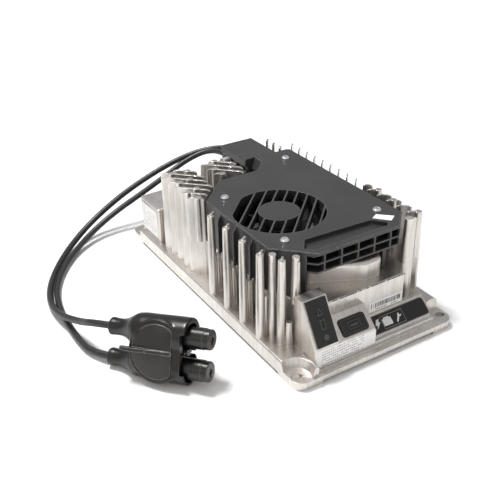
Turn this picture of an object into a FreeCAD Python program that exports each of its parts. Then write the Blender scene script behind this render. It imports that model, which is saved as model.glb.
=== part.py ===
import FreeCAD, Part
import math
import os
from FreeCAD import Vector as V

os.makedirs("parts", exist_ok=True)

# Driving dimensions, in millimetres. X across, Y towards the rear, Z up, floor at z = 0.

# Housing casting
LENGTH = 337.0            # flange, front to rear
FLANGE_WIDTH = 180.0
FLANGE_CORNER = 11.0
RIM_BOTTOM = 3.4          # underside of the rim between the ears
EAR_TOP = 8.0
EAR_LENGTH = 30.0         # ear footprint along Y
EAR_WIDTH = 26.0          # ear footprint along X
LEDGE_TOP = 17.0
LEDGE_END = LENGTH / 2 - 26.5   # full width up to here; four corner strips run on to the ears
LEDGE_TIP = LENGTH / 2 - 2.5
EAR_HOLE_X = FLANGE_WIDTH / 2 - 7.0
EAR_HOLE_Y = LENGTH / 2 - 12.5
EAR_SLOT_WIDTH = 7.0
EAR_SLOT_LENGTH = 10.0
POCKET_RADIUS = 13.5      # scoop round each ear hole, at the ear
POCKET_TOP_RADIUS = 16.3
POCKET_SHIFT = (1.5, 2.0)
DECK_Z = 56.0
DECK_HALF_WIDTH = FLANGE_WIDTH / 2 - 18.0
DECK_FRONT = -LENGTH / 2 + 30.9
DECK_REAR = LENGTH / 2 - 18.5
DECK_NOSE = 10.0          # the deck is narrower by this at its front
DECK_NOSE_LENGTH = 32.0
DECK_CORNER = (12.0, 14.0)
WALL = 3.5
FIN_TOP = 102.0
DRAFT_DEG = 1.0

# Fins and pins
FIN_PITCH_Y = 14.14       # along Y, for diagonal fins 10 mm apart
FIN_THICK = 4.4           # at the foot
FIN_EDGE_ROUND = 5.0
FIN_SIDE_X = FLANGE_WIDTH / 2 - 5.5   # outer ends of the side fins
LEFT_BANK_REAR = 97.0
FIN_PAD_RADIUS = 3.6
PIN_RADIUS = 4.6
PIN_TOP_RADIUS = 3.3
PIN_X = FLANGE_WIDTH / 2 - 6.0
PIN_FIRST_Y = -16.3
PIN_PITCH = 28.28
LOW_PIN_X = 76.5
LOW_PIN_TOP = 57.0

# Inlet block at the left rear
INLET_BLOCK_OUT = FLANGE_WIDTH / 2 - 5.0
INLET_BLOCK_IN = 36.0
INLET_BLOCK_REAR = LENGTH / 2 - 22.5
INLET_BLOCK_FRONT = INLET_BLOCK_REAR - 45.0
INLET_BLOCK_TOP = 58.0
INLET_X = -46.0
INLET_Z = 31.0
INLET_WIDTH = 24.4
INLET_HEIGHT = 16.6
INLET_DEPTH = 16.0
INLET_FLANGE_W = 48.0
INLET_FLANGE_H = 22.4
INLET_FLANGE_T = 2.5

# Front end: post, plug platform and sloping interface panel
FRONT_FACE = -LENGTH / 2 + 8.5
POST_LEFT = -66.5
POST_RIGHT = -40.0
POST_TOP = 67.0
POST_FOOT_Z = 30.0
POST_TOP_FRONT = FRONT_FACE + 22.0
POST_TOP_REAR = FRONT_FACE + 33.0
PLATFORM_RIGHT = -1.0
PLATFORM_LOW_Z = 28.0
PLATFORM_HIGH_Y = FRONT_FACE + 15.0
PLATFORM_HIGH_Z = 42.5
PANEL_RIGHT = 73.0
PANEL_LOW_Y = FRONT_FACE + 3.5
PANEL_LOW_Z = 12.5
PANEL_HIGH_Y = FRONT_FACE + 20.7
PANEL_HIGH_Z = 26.2
PORT_DEPTH = 9.0
PLUG_GAP = 0.3
PLUG_STAND = 1.6          # how far a rubber plug stands proud

# Dome under the outlet grille
DOME_TOP = 74.5
DOME_CORNER = 8.0
DOME_ROUND = 5.0
DOME_POINTS = [(-36, -88), (-36, -99.5), (14, -126), (35, -126), (35, -88)]

# Fan shroud
COVER_TOP = 100.0
COVER_PLATE = 2.5
COVER_WALL = 1.8
COVER_LEFT = -DECK_HALF_WIDTH + 1.0
COVER_RIGHT = DECK_HALF_WIDTH - 1.0
FAN_SIZE = 92.0
GRILLE_X = COVER_LEFT + COVER_WALL + FAN_SIZE / 2 + 0.5
GRILLE_Y = -39.5
FAN_FRONT = GRILLE_Y - FAN_SIZE / 2
FAN_REAR = GRILLE_Y + FAN_SIZE / 2
COVER_FRONT = FAN_FRONT - 39.5
COVER_REAR = 81.0
COVER_POINTS = [(COVER_LEFT, FAN_REAR + 9), (COVER_LEFT + 35, FAN_REAR + 44), (10, FAN_REAR + 44), (26, 66.5),
                (26, COVER_REAR), (COVER_RIGHT - 3, COVER_REAR), (COVER_RIGHT, COVER_REAR - 3),
                (COVER_RIGHT, COVER_FRONT + 20), (COVER_RIGHT - 20, COVER_FRONT), (COVER_LEFT + 31, COVER_FRONT),
                (COVER_LEFT, COVER_FRONT + 31)]
SHROUD_FOOT = 57.0
SHROUD_RIB_OUT = 4.0
SHROUD_RIB_THICK = 2.2
SHROUD_RIB_DROP = 7.0
RIB_FIRST_Y = -12.5
SCREW_PLACES = [(52.0, 59.6), (-51.8, FAN_REAR + 5.9), (-51.2, FAN_FRONT - 5.0), (53.5, FAN_FRONT - 5.0)]
SCREW_HOLE_R = 2.3
SCREW_SHAFT_R = 2.0
SCREW_HEAD_R = 4.2
SCREW_HEAD_H = 2.4
BOSS_RADIUS = 4.6
GRILLE_RADIUS = FAN_SIZE / 2 - 1.0
HUB_DISC_RADIUS = 20.0
SLAT_PITCH = 10.3
SLAT_THICK = 1.6
SLAT_DEPTH = 9.0
GRILLE_FLAT = GRILLE_RADIUS - 3.8     # the flat side of the opening, from its centre
TRAY_POINTS = [(-36, COVER_FRONT + 28), (37, COVER_FRONT + 24.5), (48, COVER_FRONT + 11), (44, COVER_FRONT + 5),
               (-40.5, COVER_FRONT + 5), (-47, COVER_FRONT + 14)]
TRAY_DEPTH = 4.5
OUTLET_BOTTOM = 79.5
OUTLET_BARS = 5
OUTLET_PITCH = 18.5
OUTLET_BAR = 1.6
OUTLET_FLOOR = 1.0

# Terminal cover, the box behind the shroud
BOX_LEFT = 14.0
BOX_RIGHT = 54.5
BOX_FRONT = COVER_REAR + 0.3
BOX_REAR = 133.5
BOX_WALL = 2.2
BOX_FOOT = DECK_Z
BOX_BAND = 9.0            # upright band at the top of the left wall; below it the wall steps in
BOX_STEP = 2.6
TERMINAL_Y = 107.0
LEAD_RADIUS = 3.3
BOOT_RADIUS = 5.6
BOOT_TIP_RADIUS = 4.3
BOOT_REAR = 143.0
TERMINAL_BLOCK = (28.0, 26.0, 30.0)   # length along X, depth along Y, height

# Fan
FAN_DEPTH = 25.0
FAN_BORE = FAN_SIZE / 2 - 1.5
FAN_HOLE_SPACING = FAN_SIZE - 9.5
FAN_FLANGE = 4.0
FAN_DUCT_WALL = 1.5
ROTOR_TIP = FAN_BORE - 1.3
ROTOR_HUB = 19.5
ROTOR_WALL = 1.6
BLADES = 7
BLADE_CHORD = 24.0
BLADE_THICK = 1.8
SHAFT_RADIUS = 1.5

# Underside
GASKET_THICK = 0.8
PLATE_THICK = 1.5
PLATE_MARGIN = 6.0        # plate edge inside the flange edge
PLATE_SCREW_X = FLANGE_WIDTH / 2 - 12.0
PLATE_SCREW_PITCH = LENGTH * 0.2374
PLATE_SCREWS = [(sx * PLATE_SCREW_X, k * PLATE_SCREW_PITCH) for sx in (-1, 1) for k in (-1.5, -0.5, 0.5, 1.5)]

# Inside
BOARD_Z = 9.0
BOARD_THICK = 1.6
BOARD_HALF_X = 58.0
BOARD_FRONT = -119.0
BOARD_REAR = 92.0
BOARD_SCREW_INSET = 6.0
BOARD_MIDDLE_SCREW_Y = 16.0

# Battery connector, in its own frame: u forward to the sleeves, w out of the grip plate
CONNECTOR_AT = V(-169.7, -80.4, 0.0)
CONNECTOR_YAW = -53.6
CONNECTOR_PITCH = 5.5
CONNECTOR_ROLL = -24.5
SLEEVE_SPACING = 27.5
SLEEVE_RADIUS = 9.5
SLEEVE_FACE = 45.1
SLEEVE_ROOT = 8.0
SLEEVE_COLLAR = 10.8
CONTACT_RADIUS = 3.0
CONTACT_BORE = 2.1
HOOD_RADIUS = 14.7        # at the open front
HOOD_BACK_RADIUS = 10.6
HOOD_WALL = 2.4
HOOD_FRONT = 26.0
HOOD_REAR = -20.0
NECK_REAR = -36.0
NECK_RADIUS = 8.4
CORD_BOOT_RADIUS = 7.4
CORD_BOOT_REAR = -53.4
GRIP_RADIUS = 24.0
GRIP_FLAT = 19.0
GRIP_FACE = 15.4
COLLAR_RADIUS = 27.0
COLLAR_FLAT = 22.5
COLLAR_TOP = 14.0

# Routes of the two leads, from the terminal cover to the connector
LEAD_A_X = 40.0
LEAD_B_X = 27.0
LEAD_Z = 80.0
LEAD_A_ROUTE = [(40, 162, 80), (27.5, 181.5, 76.5), (0, 192, 70.5), (-37.2, 196, 59), (-82, 199.5, 39.5),
                (-126, 194.5, 18.5), (-163, 172.5, 6.5), (-193.3, 137, 3.6), (-214, 101, 3.4),
                (-223, 68, 4.4), (-222, 36.5, 10.6), (-214, 5, 20)]
LEAD_B_ROUTE = [(27, 161, 80), (15.5, 177.5, 76.5), (-8.5, 182.5, 68), (-36, 182.5, 55), (-66, 185, 40),
                (-98, 188, 25), (-130, 181.5, 12.5), (-162, 160.5, 5.2), (-188.5, 130, 3.5),
                (-206.5, 99, 3.4), (-216, 66, 3.4), (-219, 33, 3.4), (-219.5, 2, 3.8)]
BOOT_RUN = 20.0           # straight run of a lead behind the connector


def box(x0, x1, y0, y1, z0, z1):
    return Part.makeBox(x1 - x0, y1 - y0, z1 - z0, V(x0, y0, z0))


def cyl(radius, x, y, z0, z1):
    return Part.makeCylinder(radius, z1 - z0, V(x, y, z0))


def polygon(points):
    corners = [V(*p) for p in points]
    return Part.Wire(Part.makePolygon(corners + corners[:1]))


def prism(points, z0, z1):
    """Upright prism over a plan outline."""
    wire = polygon([(x, y, z0) for x, y in points])
    return Part.Face(wire).extrude(V(0, 0, z1 - z0))


def side_prism(points, x0, x1):
    """Prism along X over a (y, z) side profile."""
    wire = polygon([(x0, y, z) for y, z in points])
    return Part.Face(wire).extrude(V(x1 - x0, 0, 0))


def inset(points, distance, z):
    """Plan outline moved inwards, as a wire."""
    return polygon([(x, y, z) for x, y in points]).makeOffset2D(-distance, 2, False, False)


def upright_edges(shape):
    found = []
    for edge in shape.Edges:
        ends = [v.Point for v in edge.Vertexes]
        if len(ends) == 2 and abs(ends[0].z - ends[1].z) > 1:
            if math.hypot(ends[0].x - ends[1].x, ends[0].y - ends[1].y) < 1e-6:
                found.append(edge)
    return found


def rounded_box(x0, x1, y0, y1, z0, z1, radius):
    shape = box(x0, x1, y0, y1, z0, z1)
    return shape.makeFillet(radius, upright_edges(shape))


def fuse_all(shapes):
    return shapes[0].multiFuse(shapes[1:]).removeSplitter()


def turned(points):
    """Solid of revolution about Z from (radius, z) points."""
    wire = polygon([(r, 0, z) for r, z in points])
    return Part.Face(wire).revolve(V(0, 0, 0), V(0, 0, 1), 360)


def save(name, shape):
    solids = shape.Solids
    shape = solids[0] if len(solids) == 1 else Part.makeCompound(solids)
    shape.exportStep("parts/" + name + ".step")


def mirrored_x(shape):
    return shape.mirror(V(0, 0, 0), V(1, 0, 0))


def mirrored_y(shape):
    return shape.mirror(V(0, 0, 0), V(0, 1, 0))


def fin(start, end, top=FIN_TOP, foot=DECK_Z - 1, thick=FIN_THICK, round_start=True, round_end=True):
    """Cast fin between two plan points: flat drafted sides, round drafted ends, chamfered top corners."""
    a, b = V(start[0], start[1], foot), V(end[0], end[1], foot)
    along = (b - a).normalize()
    across = V(-along.y, along.x, 0)
    slim = thick - 2 * (top - foot) * math.tan(math.radians(DRAFT_DEG))
    up = V(0, 0, top - foot)
    wires = []
    for width, rise in ((thick, V(0, 0, 0)), (slim, up)):
        side = across * (width / 2)
        corners = [a + side + rise, b + side + rise, b - side + rise, a - side + rise]
        wires.append(Part.Wire(Part.makePolygon(corners + corners[:1])))
    plate = Part.makeLoft(wires, True, True)
    ends = [Part.makeCone(thick / 2, slim / 2, top - foot, p) for p in (a, b)]
    plate = plate.multiFuse(ends)
    cutters = []
    for on, place, sign in ((round_start, a, -1), (round_end, b, 1)):
        if on:
            tip = place + along * (sign * thick / 2)
            cutters.append(corner_cutter(V(tip.x, tip.y, 0), along * sign, across, top))
    return plate.cut(Part.makeCompound(cutters)) if cutters else plate


def corner_cutter(tip, outward, across, top):
    """Wedge that chamfers the top corner of a fin at its end."""
    r = FIN_EDGE_ROUND
    reach = tip + outward * 2
    mid = tip - outward * (0.3 * r)
    corners = [reach + V(0, 0, top + 1), reach + V(0, 0, top - r), tip + V(0, 0, top - r),
               mid + V(0, 0, top - 0.3 * r), tip - outward * r + V(0, 0, top),
               tip - outward * r + V(0, 0, top + 1)]
    face = Part.Face(Part.Wire(Part.makePolygon(corners + corners[:1])))
    face.translate(across * -6)
    return face.extrude(across * 12)


def cone_pin(x, y, foot, top, radius=PIN_RADIUS, top_radius=PIN_TOP_RADIUS):
    return Part.makeCone(radius, top_radius, top - foot, V(x, y, foot))


def fin_pad(x, y, top=FIN_TOP):
    return cone_pin(x, y, DECK_Z - 1, top + 0.4, FIN_PAD_RADIUS + 0.5, FIN_PAD_RADIUS - 0.3)


def left_bank():
    """Fins that run from the left side and the rear edge towards the shroud."""
    parts = []
    first_sum = 4.5
    for k in range(-3, 6):
        total = first_sum - FIN_PITCH_Y * k
        out_x = -FIN_SIDE_X + FIN_THICK / 2
        out_y = total - out_x
        if out_y > LEFT_BANK_REAR:
            out_y = LEFT_BANK_REAR
            out_x = total - out_y
        gap = 91.2 if k > 0 else 104.0
        in_x = (total - gap) / 2
        if k < 0:
            in_x = -47.0
        in_y = total - in_x
        if in_x - out_x > 5:
            foot = LEDGE_TOP - 1
            parts.append(fin((out_x, out_y), (in_x, in_y), foot=foot, thick=FIN_THICK + 1.0))
            share = 0.25 if k % 2 else 0.62
            x = out_x + (in_x - out_x) * share
            parts.append(fin_pad(x, total - x))
    return parts


def middle_bank():
    """Fins between the left bank and the terminal cover."""
    parts = []
    first_sum = 4.5
    for k in range(-6, -1):
        total = first_sum - FIN_PITCH_Y * k
        out_x = max(-33.0, total - LEFT_BANK_REAR)
        out_y = total - out_x
        in_x = min(-1.5, total - 53.0)
        if k == -2:
            in_x = min(in_x, out_x + 8)
        parts.append(fin((out_x, out_y), (in_x, total - in_x)))
        x = out_x + (in_x - out_x) * (0.2 if k % 2 else 0.75)
        parts.append(fin_pad(x, total - x))
    return parts


def right_bank():
    """Fins on the right side: outwards to the rear behind the fan, outwards to the front before it."""
    parts = []
    outer = FIN_SIDE_X - FIN_THICK / 2
    inner = COVER_RIGHT + 3.2
    for k in range(9):
        y = 88.2 - FIN_PITCH_Y * k
        parts.append(fin((inner, y - (outer - inner)), (outer, y), foot=LEDGE_TOP - 1, round_start=False))
    for y in (89.7, 102.6, 115.5):
        parts.append(fin((BOX_RIGHT + 7.0, y - 5.0), (BOX_RIGHT + 12.0, y), round_start=False))
    outer = FIN_SIDE_X - FIN_THICK / 2 + 1.0
    for k in range(6):
        y = -47.9 - FIN_PITCH_Y * k
        thick = FIN_THICK + 0.8 if k % 2 else FIN_THICK + 0.3
        start = inner + 3.2 if k == 0 else inner
        parts.append(fin((start, y + outer - start), (outer, y), foot=LEDGE_TOP - 1, thick=thick))
        if k % 2:
            x = inner + (4.0 if k == 3 else 7.0)
            parts.append(fin_pad(x, y + outer - x))
    x, y = COVER_RIGHT - 5.0, COVER_FRONT + 4.5
    parts.append(cone_pin(x, y, LEDGE_TOP - 1, FIN_TOP - 0.5, PIN_RADIUS + 0.6, PIN_TOP_RADIUS + 0.4))
    parts.append(web((x, y), (x + 7.5, y - 1.5), LEDGE_TOP - 1, FIN_TOP - 1.5, 2.4))
    return parts


def side_pins():
    """Tall pins on the left ledge, each with a thin web back to the housing, and low pins between."""
    parts = []
    foot = LEDGE_TOP - 1
    for k in range(4):
        y = PIN_FIRST_Y - PIN_PITCH * k
        parts.append(cone_pin(-PIN_X, y, foot, FIN_TOP))
        parts.append(web((-PIN_X, y), (-PIN_X + 5.2, y + 3.4), foot, FIN_TOP + 1.5))
        low_y = RIB_FIRST_Y - PIN_PITCH * k + 14.0
        if k:
            parts.append(cone_pin(-LOW_PIN_X, low_y - 14.0 - 0.5, foot, LOW_PIN_TOP, 4.2, 3.6))
    parts.append(cone_pin(-LOW_PIN_X, RIB_FIRST_Y - 0.5, foot, LOW_PIN_TOP, 4.2, 3.6))
    nose = COVER_FRONT
    for x, y, low in ((-74.2, nose + 19.5, foot), (-73.6, nose + 6.0, foot), (-59.8, nose + 5.0, DECK_Z - 1)):
        parts.append(cone_pin(x, y, low, FIN_TOP - 0.8))
    parts.append(web((-74.2, nose + 19.5), (-77.0, nose + 17.0), foot, FIN_TOP - 8.0))
    parts.append(web((-73.6, nose + 6.0), (-70.4, nose + 9.4), foot, FIN_TOP + 0.7))
    parts.append(web((-59.8, nose + 5.0), (-59.8, nose + 0.2), DECK_Z - 1, FIN_TOP - 4.0))
    parts.append(cone_pin(-70.5, nose - 1.0, foot, 42.0, 3.4, 2.6))
    return parts


def web(start, end, foot, top, thick=1.8):
    a, b = V(start[0], start[1], foot), V(end[0], end[1], foot)
    along = (b - a).normalize()
    side = V(-along.y, along.x, 0) * (thick / 2)
    wire = Part.Wire(Part.makePolygon([a + side, b + side, b - side, a - side, a + side]))
    return Part.Face(wire).extrude(V(0, 0, top - foot))


def rear_side_fins():
    """Short fins on both ledges at the rear corners."""
    parts = []
    for y in (112.0, 126.0, 140.0):
        parts.append(fin((DECK_HALF_WIDTH - 2, y), (FIN_SIDE_X - 3, y), top=DECK_Z, foot=LEDGE_TOP - 1))
    return parts


def post_profile():
    return [(FRONT_FACE, EAR_TOP - 1), (FRONT_FACE, POST_FOOT_Z),
            (POST_TOP_FRONT, POST_TOP), (POST_TOP_REAR, POST_TOP), (POST_TOP_REAR, EAR_TOP - 1)]


def platform_profile():
    return [(DECK_FRONT + 1, EAR_TOP - 1), (FRONT_FACE, EAR_TOP - 1), (FRONT_FACE, PLATFORM_LOW_Z),
            (PLATFORM_HIGH_Y, PLATFORM_HIGH_Z), (PLATFORM_HIGH_Y + 2.5, PLATFORM_HIGH_Z + 2.5),
            (DECK_FRONT + 1, PLATFORM_HIGH_Z + 2.5)]


def panel_profile():
    return [(DECK_FRONT + 1, EAR_TOP - 1), (FRONT_FACE, EAR_TOP - 1), (FRONT_FACE, PANEL_LOW_Z),
            (PANEL_LOW_Y, PANEL_LOW_Z), (PANEL_HIGH_Y, PANEL_HIGH_Z), (DECK_FRONT + 1, PANEL_HIGH_Z)]


def slope_frame(low, high, x):
    """Placement on a sloping face: local X across the object, local Y up the slope, local Z out of it."""
    up = V(0, high[0] - low[0], high[1] - low[1]).normalize()
    across = V(1, 0, 0)
    out = across.cross(up)
    matrix = FreeCAD.Matrix(across.x, up.x, out.x, x,
                            across.y, up.y, out.y, (low[0] + high[0]) / 2,
                            across.z, up.z, out.z, (low[1] + high[1]) / 2, 0, 0, 0, 1)
    return matrix


POST_SLOPE = slope_frame((FRONT_FACE, POST_FOOT_Z), (POST_TOP_FRONT, POST_TOP), (POST_LEFT + POST_RIGHT) / 2)
PLATFORM_SLOPE = slope_frame((FRONT_FACE, PLATFORM_LOW_Z), (PLATFORM_HIGH_Y, PLATFORM_HIGH_Z),
                             (POST_RIGHT + PLATFORM_RIGHT) / 2)
PANEL_SLOPE = slope_frame((PANEL_LOW_Y, PANEL_LOW_Z), (PANEL_HIGH_Y, PANEL_HIGH_Z), 37.0)
TALL_PLUG = (20.0, 40.0)      # across, up the slope
SQUARE_PLUG = (29.0, 16.5)
PANEL_LABEL_LEFT = 3.2
PANEL_LABEL_RIGHT = 71.0
PANEL_LABEL_HEIGHT = 17.5
PANEL_LABEL_ROUND = 4.0


def placed(shape, matrix):
    copy = shape.copy()
    copy.transformShape(matrix)
    return copy


def plug_pocket(size, matrix):
    w, h = size
    pocket = rounded_box(-w / 2, w / 2, -h / 2, h / 2, -PORT_DEPTH, 2, 3.0)
    return placed(pocket, matrix)


def deck_outline(inward):
    """Plan outline of the deck walls, narrower towards the front, with cut front corners."""
    w, n = DECK_HALF_WIDTH - inward, DECK_HALF_WIDTH - DECK_NOSE - inward
    front, rear = DECK_FRONT + inward, DECK_REAR - inward
    nose = DECK_FRONT + DECK_NOSE_LENGTH + inward
    cx, cy = DECK_CORNER
    right = [(w, rear), (w, nose + DECK_NOSE), (n, nose), (n, front + cy), (n - cx, front)]
    return right + [(-x, y) for x, y in reversed(right)]


def scoop(sx, sy):
    """Drafted round hollow over an ear, cut into the end of the ledge."""
    x = sx * (EAR_HOLE_X + POCKET_SHIFT[0])
    y = sy * (EAR_HOLE_Y + POCKET_SHIFT[1])
    rate = (POCKET_TOP_RADIUS - POCKET_RADIUS) / (LEDGE_TOP - EAR_TOP)
    top = POCKET_TOP_RADIUS + rate
    return Part.makeCone(POCKET_RADIUS, top, LEDGE_TOP - EAR_TOP + 1, V(x, y, EAR_TOP))


def dome():
    """Rounded hump on the deck under the outlet grille."""
    block = prism(DOME_POINTS, DECK_Z - 1, DOME_TOP)
    front = [e for e in upright_edges(block) if e.BoundBox.YMax < DOME_POINTS[0][1] - 1]
    block = block.makeFillet(DOME_CORNER, front)
    return block.makeFillet(DOME_ROUND, [e for e in block.Edges if e.BoundBox.ZMin > DOME_TOP - 0.1])


def housing():
    half_l, half_w = LENGTH / 2, FLANGE_WIDTH / 2
    flange = rounded_box(-half_w, half_w, -half_l, half_l, RIM_BOTTOM, EAR_TOP, FLANGE_CORNER)
    outline = rounded_box(-half_w, half_w, -half_l, half_l, 0, RIM_BOTTOM, FLANGE_CORNER)
    corner = box(half_w - EAR_WIDTH, half_w, half_l - EAR_LENGTH, half_l, 0, RIM_BOTTOM)
    ears = [outline.common(corner), outline.common(mirrored_x(corner)), outline.common(mirrored_y(corner)),
            outline.common(mirrored_x(mirrored_y(corner)))]
    ledge = box(-half_w, half_w, -LEDGE_END, LEDGE_END, EAR_TOP, LEDGE_TOP)
    tips = [box(-half_w, POST_LEFT, -LEDGE_TIP, -LEDGE_END, EAR_TOP, LEDGE_TOP),
            box(PANEL_RIGHT, half_w, -LEDGE_TIP, -LEDGE_END, EAR_TOP, LEDGE_TOP),
            box(-half_w, POST_LEFT, LEDGE_END, LEDGE_TIP, EAR_TOP, LEDGE_TOP),
            box(-POST_LEFT, half_w, LEDGE_END, LEDGE_TIP, EAR_TOP, LEDGE_TOP)]
    ledge = fuse_all([ledge] + tips)
    ledge = ledge.makeChamfer(1.2, [e for e in ledge.Edges if e.BoundBox.ZMin > LEDGE_TOP - 0.1
                                    and e.BoundBox.XLength < 0.1])
    deck = prism(deck_outline(0.0), EAR_TOP - 1, DECK_Z)
    deck = deck.makeFillet(2.0, [e for e in deck.Edges if e.BoundBox.ZMin > DECK_Z - 0.1])
    inlet_block = box(-INLET_BLOCK_OUT, -INLET_BLOCK_IN, INLET_BLOCK_FRONT, INLET_BLOCK_REAR,
                      LEDGE_TOP - 6, INLET_BLOCK_TOP)
    inlet_block = inlet_block.makeFillet(2.5, [e for e in inlet_block.Edges
                                               if e.BoundBox.ZMin > INLET_BLOCK_TOP - 0.1
                                               or e.BoundBox.XMax < -INLET_BLOCK_OUT + 0.1])
    post = side_prism(post_profile(), POST_LEFT, POST_RIGHT)
    post = post.makeFillet(2.0, [e for e in post.Edges
                                 if e.BoundBox.XLength < 0.1 and e.BoundBox.YMin < POST_TOP_FRONT - 0.1
                                 and e.BoundBox.YMax < POST_TOP_FRONT + 0.1])
    platform = side_prism(platform_profile(), POST_RIGHT, PLATFORM_RIGHT)
    panel = side_prism(panel_profile(), PLATFORM_RIGHT, PANEL_RIGHT)
    step = side_prism([(FRONT_FACE + 1, EAR_TOP - 1), (FRONT_FACE - 2.6, EAR_TOP - 1),
                       (FRONT_FACE - 2.6, EAR_TOP + 1.6), (FRONT_FACE + 1, EAR_TOP + 1.6)],
                      POST_LEFT, PANEL_RIGHT)
    bosses = [cyl(BOSS_RADIUS, x, y, DECK_Z - 1, COVER_TOP - COVER_PLATE) for x, y in SCREW_PLACES]
    under_fan = [fin((GRILLE_X + 30 * sx, GRILLE_Y + 12 * k), (GRILLE_X + 44 * sx, GRILLE_Y + 12 * k + 14 * sy),
                     top=DECK_Z + 7, foot=DECK_Z - 1, thick=3.0, round_start=False, round_end=False)
                 for sx, sy in ((-1, -1), (1, 1)) for k in range(-3, 3)]
    solid = fuse_all([flange, ledge, deck, inlet_block, post, platform, panel, step, dome()] + ears + bosses
                     + left_bank() + middle_bank() + right_bank() + side_pins() + rear_side_fins() + under_fan)
    cuts = []
    for sx in (-1, 1):
        for sy in (-1, 1):
            x, y = sx * EAR_HOLE_X, sy * EAR_HOLE_Y
            cuts.append(scoop(sx, sy))
            cuts.append(slot(x, y, EAR_SLOT_LENGTH, EAR_SLOT_WIDTH, -1, EAR_TOP + 1))
    cuts.append(prism(deck_outline(WALL), -1, DECK_Z - WALL))
    cuts.append(box(-INLET_BLOCK_OUT + WALL, -INLET_BLOCK_IN, INLET_BLOCK_FRONT + WALL,
                    INLET_BLOCK_REAR - WALL, LEDGE_TOP, INLET_BLOCK_TOP - WALL - 2))
    cuts.append(plug_pocket(TALL_PLUG, POST_SLOPE))
    cuts.append(plug_pocket(SQUARE_PLUG, PLATFORM_SLOPE))
    cuts.append(box(INLET_X - INLET_WIDTH / 2 - 2.3, INLET_X + INLET_WIDTH / 2 + 2.3, DECK_REAR - WALL - 1,
                    DECK_REAR + 1, INLET_Z - INLET_HEIGHT / 2 - 2.3, INLET_Z + INLET_HEIGHT / 2 + 2.3))
    for x, y in SCREW_PLACES:
        cuts.append(cyl(SCREW_SHAFT_R, x, y, COVER_TOP - COVER_PLATE - 12, COVER_TOP))
    for x, y in PLATE_SCREWS:
        cuts.append(cyl(SCREW_SHAFT_R, x, y, 0, RIM_BOTTOM + 9))
    for x in (LEAD_A_X, LEAD_B_X):
        cuts.append(cyl(5.0, x, TERMINAL_Y, DECK_Z - WALL - 1, DECK_Z + 1))
    solid = solid.cut(Part.makeCompound(cuts))
    posts = [cyl(3.6, x, y, BOARD_Z + BOARD_THICK, DECK_Z - WALL + 0.5) for x, y in board_screw_places()]
    solid = fuse_all([solid] + posts)
    holes = [cyl(1.3, x, y, BOARD_Z, BOARD_Z + BOARD_THICK + 8) for x, y in board_screw_places()]
    return solid.cut(Part.makeCompound(holes))


def slot(x, y, length, width, z0, z1):
    """Upright slot, long along X."""
    r = width / 2
    half = length / 2 - r
    body = box(x - half, x + half, y - r, y + r, z0, z1)
    return body.multiFuse([cyl(r, x - half, y, z0, z1), cyl(r, x + half, y, z0, z1)]).removeSplitter()


def board_screw_places():
    x = BOARD_HALF_X - BOARD_SCREW_INSET
    return [(sx * x, y) for sx in (-1, 1) for y in (BOARD_FRONT + BOARD_SCREW_INSET, BOARD_MIDDLE_SCREW_Y,
                                                     BOARD_REAR - BOARD_SCREW_INSET)]


def plate_outline(z0, z1):
    """Plan of the plate and its gasket, clear of the four ears."""
    half_l, half_w = LENGTH / 2 - PLATE_MARGIN, FLANGE_WIDTH / 2 - PLATE_MARGIN
    ear_y = LENGTH / 2 - EAR_LENGTH - PLUG_GAP
    ear_x = FLANGE_WIDTH / 2 - EAR_WIDTH - PLUG_GAP
    shape = fuse_all([box(-half_w, half_w, -ear_y, ear_y, z0, z1), box(-ear_x, ear_x, -half_l, half_l, z0, z1)])
    return shape


def bottom_plate():
    z1 = RIM_BOTTOM - GASKET_THICK
    plate = plate_outline(z1 - PLATE_THICK, z1)
    holes = [cyl(SCREW_HOLE_R, x, y, -1, z1 + 1) for x, y in PLATE_SCREWS]
    sinks = [Part.makeCone(SCREW_HEAD_R, SCREW_HOLE_R, 1.2, V(x, y, z1 - PLATE_THICK)) for x, y in PLATE_SCREWS]
    return plate.cut(Part.makeCompound(holes + sinks))


def gasket():
    z0 = RIM_BOTTOM - GASKET_THICK
    ring = plate_outline(z0, RIM_BOTTOM)
    window = prism(deck_outline(WALL), 0, RIM_BOTTOM + 1)
    holes = [cyl(SCREW_HOLE_R, x, y, 0, RIM_BOTTOM + 1) for x, y in PLATE_SCREWS]
    return ring.cut(Part.makeCompound([window] + holes))


def plate_screws():
    low = RIM_BOTTOM - GASKET_THICK - PLATE_THICK
    screws = []
    for x, y in PLATE_SCREWS:
        head = Part.makeCone(SCREW_HEAD_R - 0.15, SCREW_HOLE_R - 0.15, 1.2, V(x, y, low))
        shaft = cyl(SCREW_SHAFT_R, x, y, low + 0.6, RIM_BOTTOM + 7)
        drive = cyl(1.1, x, y, low - 0.5, low + 0.7)
        screws.append(head.fuse(shaft).cut(drive))
    return Part.makeCompound(screws)


def grille_opening(z0, z1):
    disc = cyl(GRILLE_RADIUS, GRILLE_X, GRILLE_Y, z0, z1)
    keep = box(-GRILLE_FLAT, GRILLE_RADIUS + 1, -GRILLE_RADIUS - 1, GRILLE_RADIUS + 1, z0, z1)
    keep.rotate(V(0, 0, 0), V(0, 0, 1), -45)
    keep.translate(V(GRILLE_X, GRILLE_Y, 0))
    return disc.common(keep)


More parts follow.
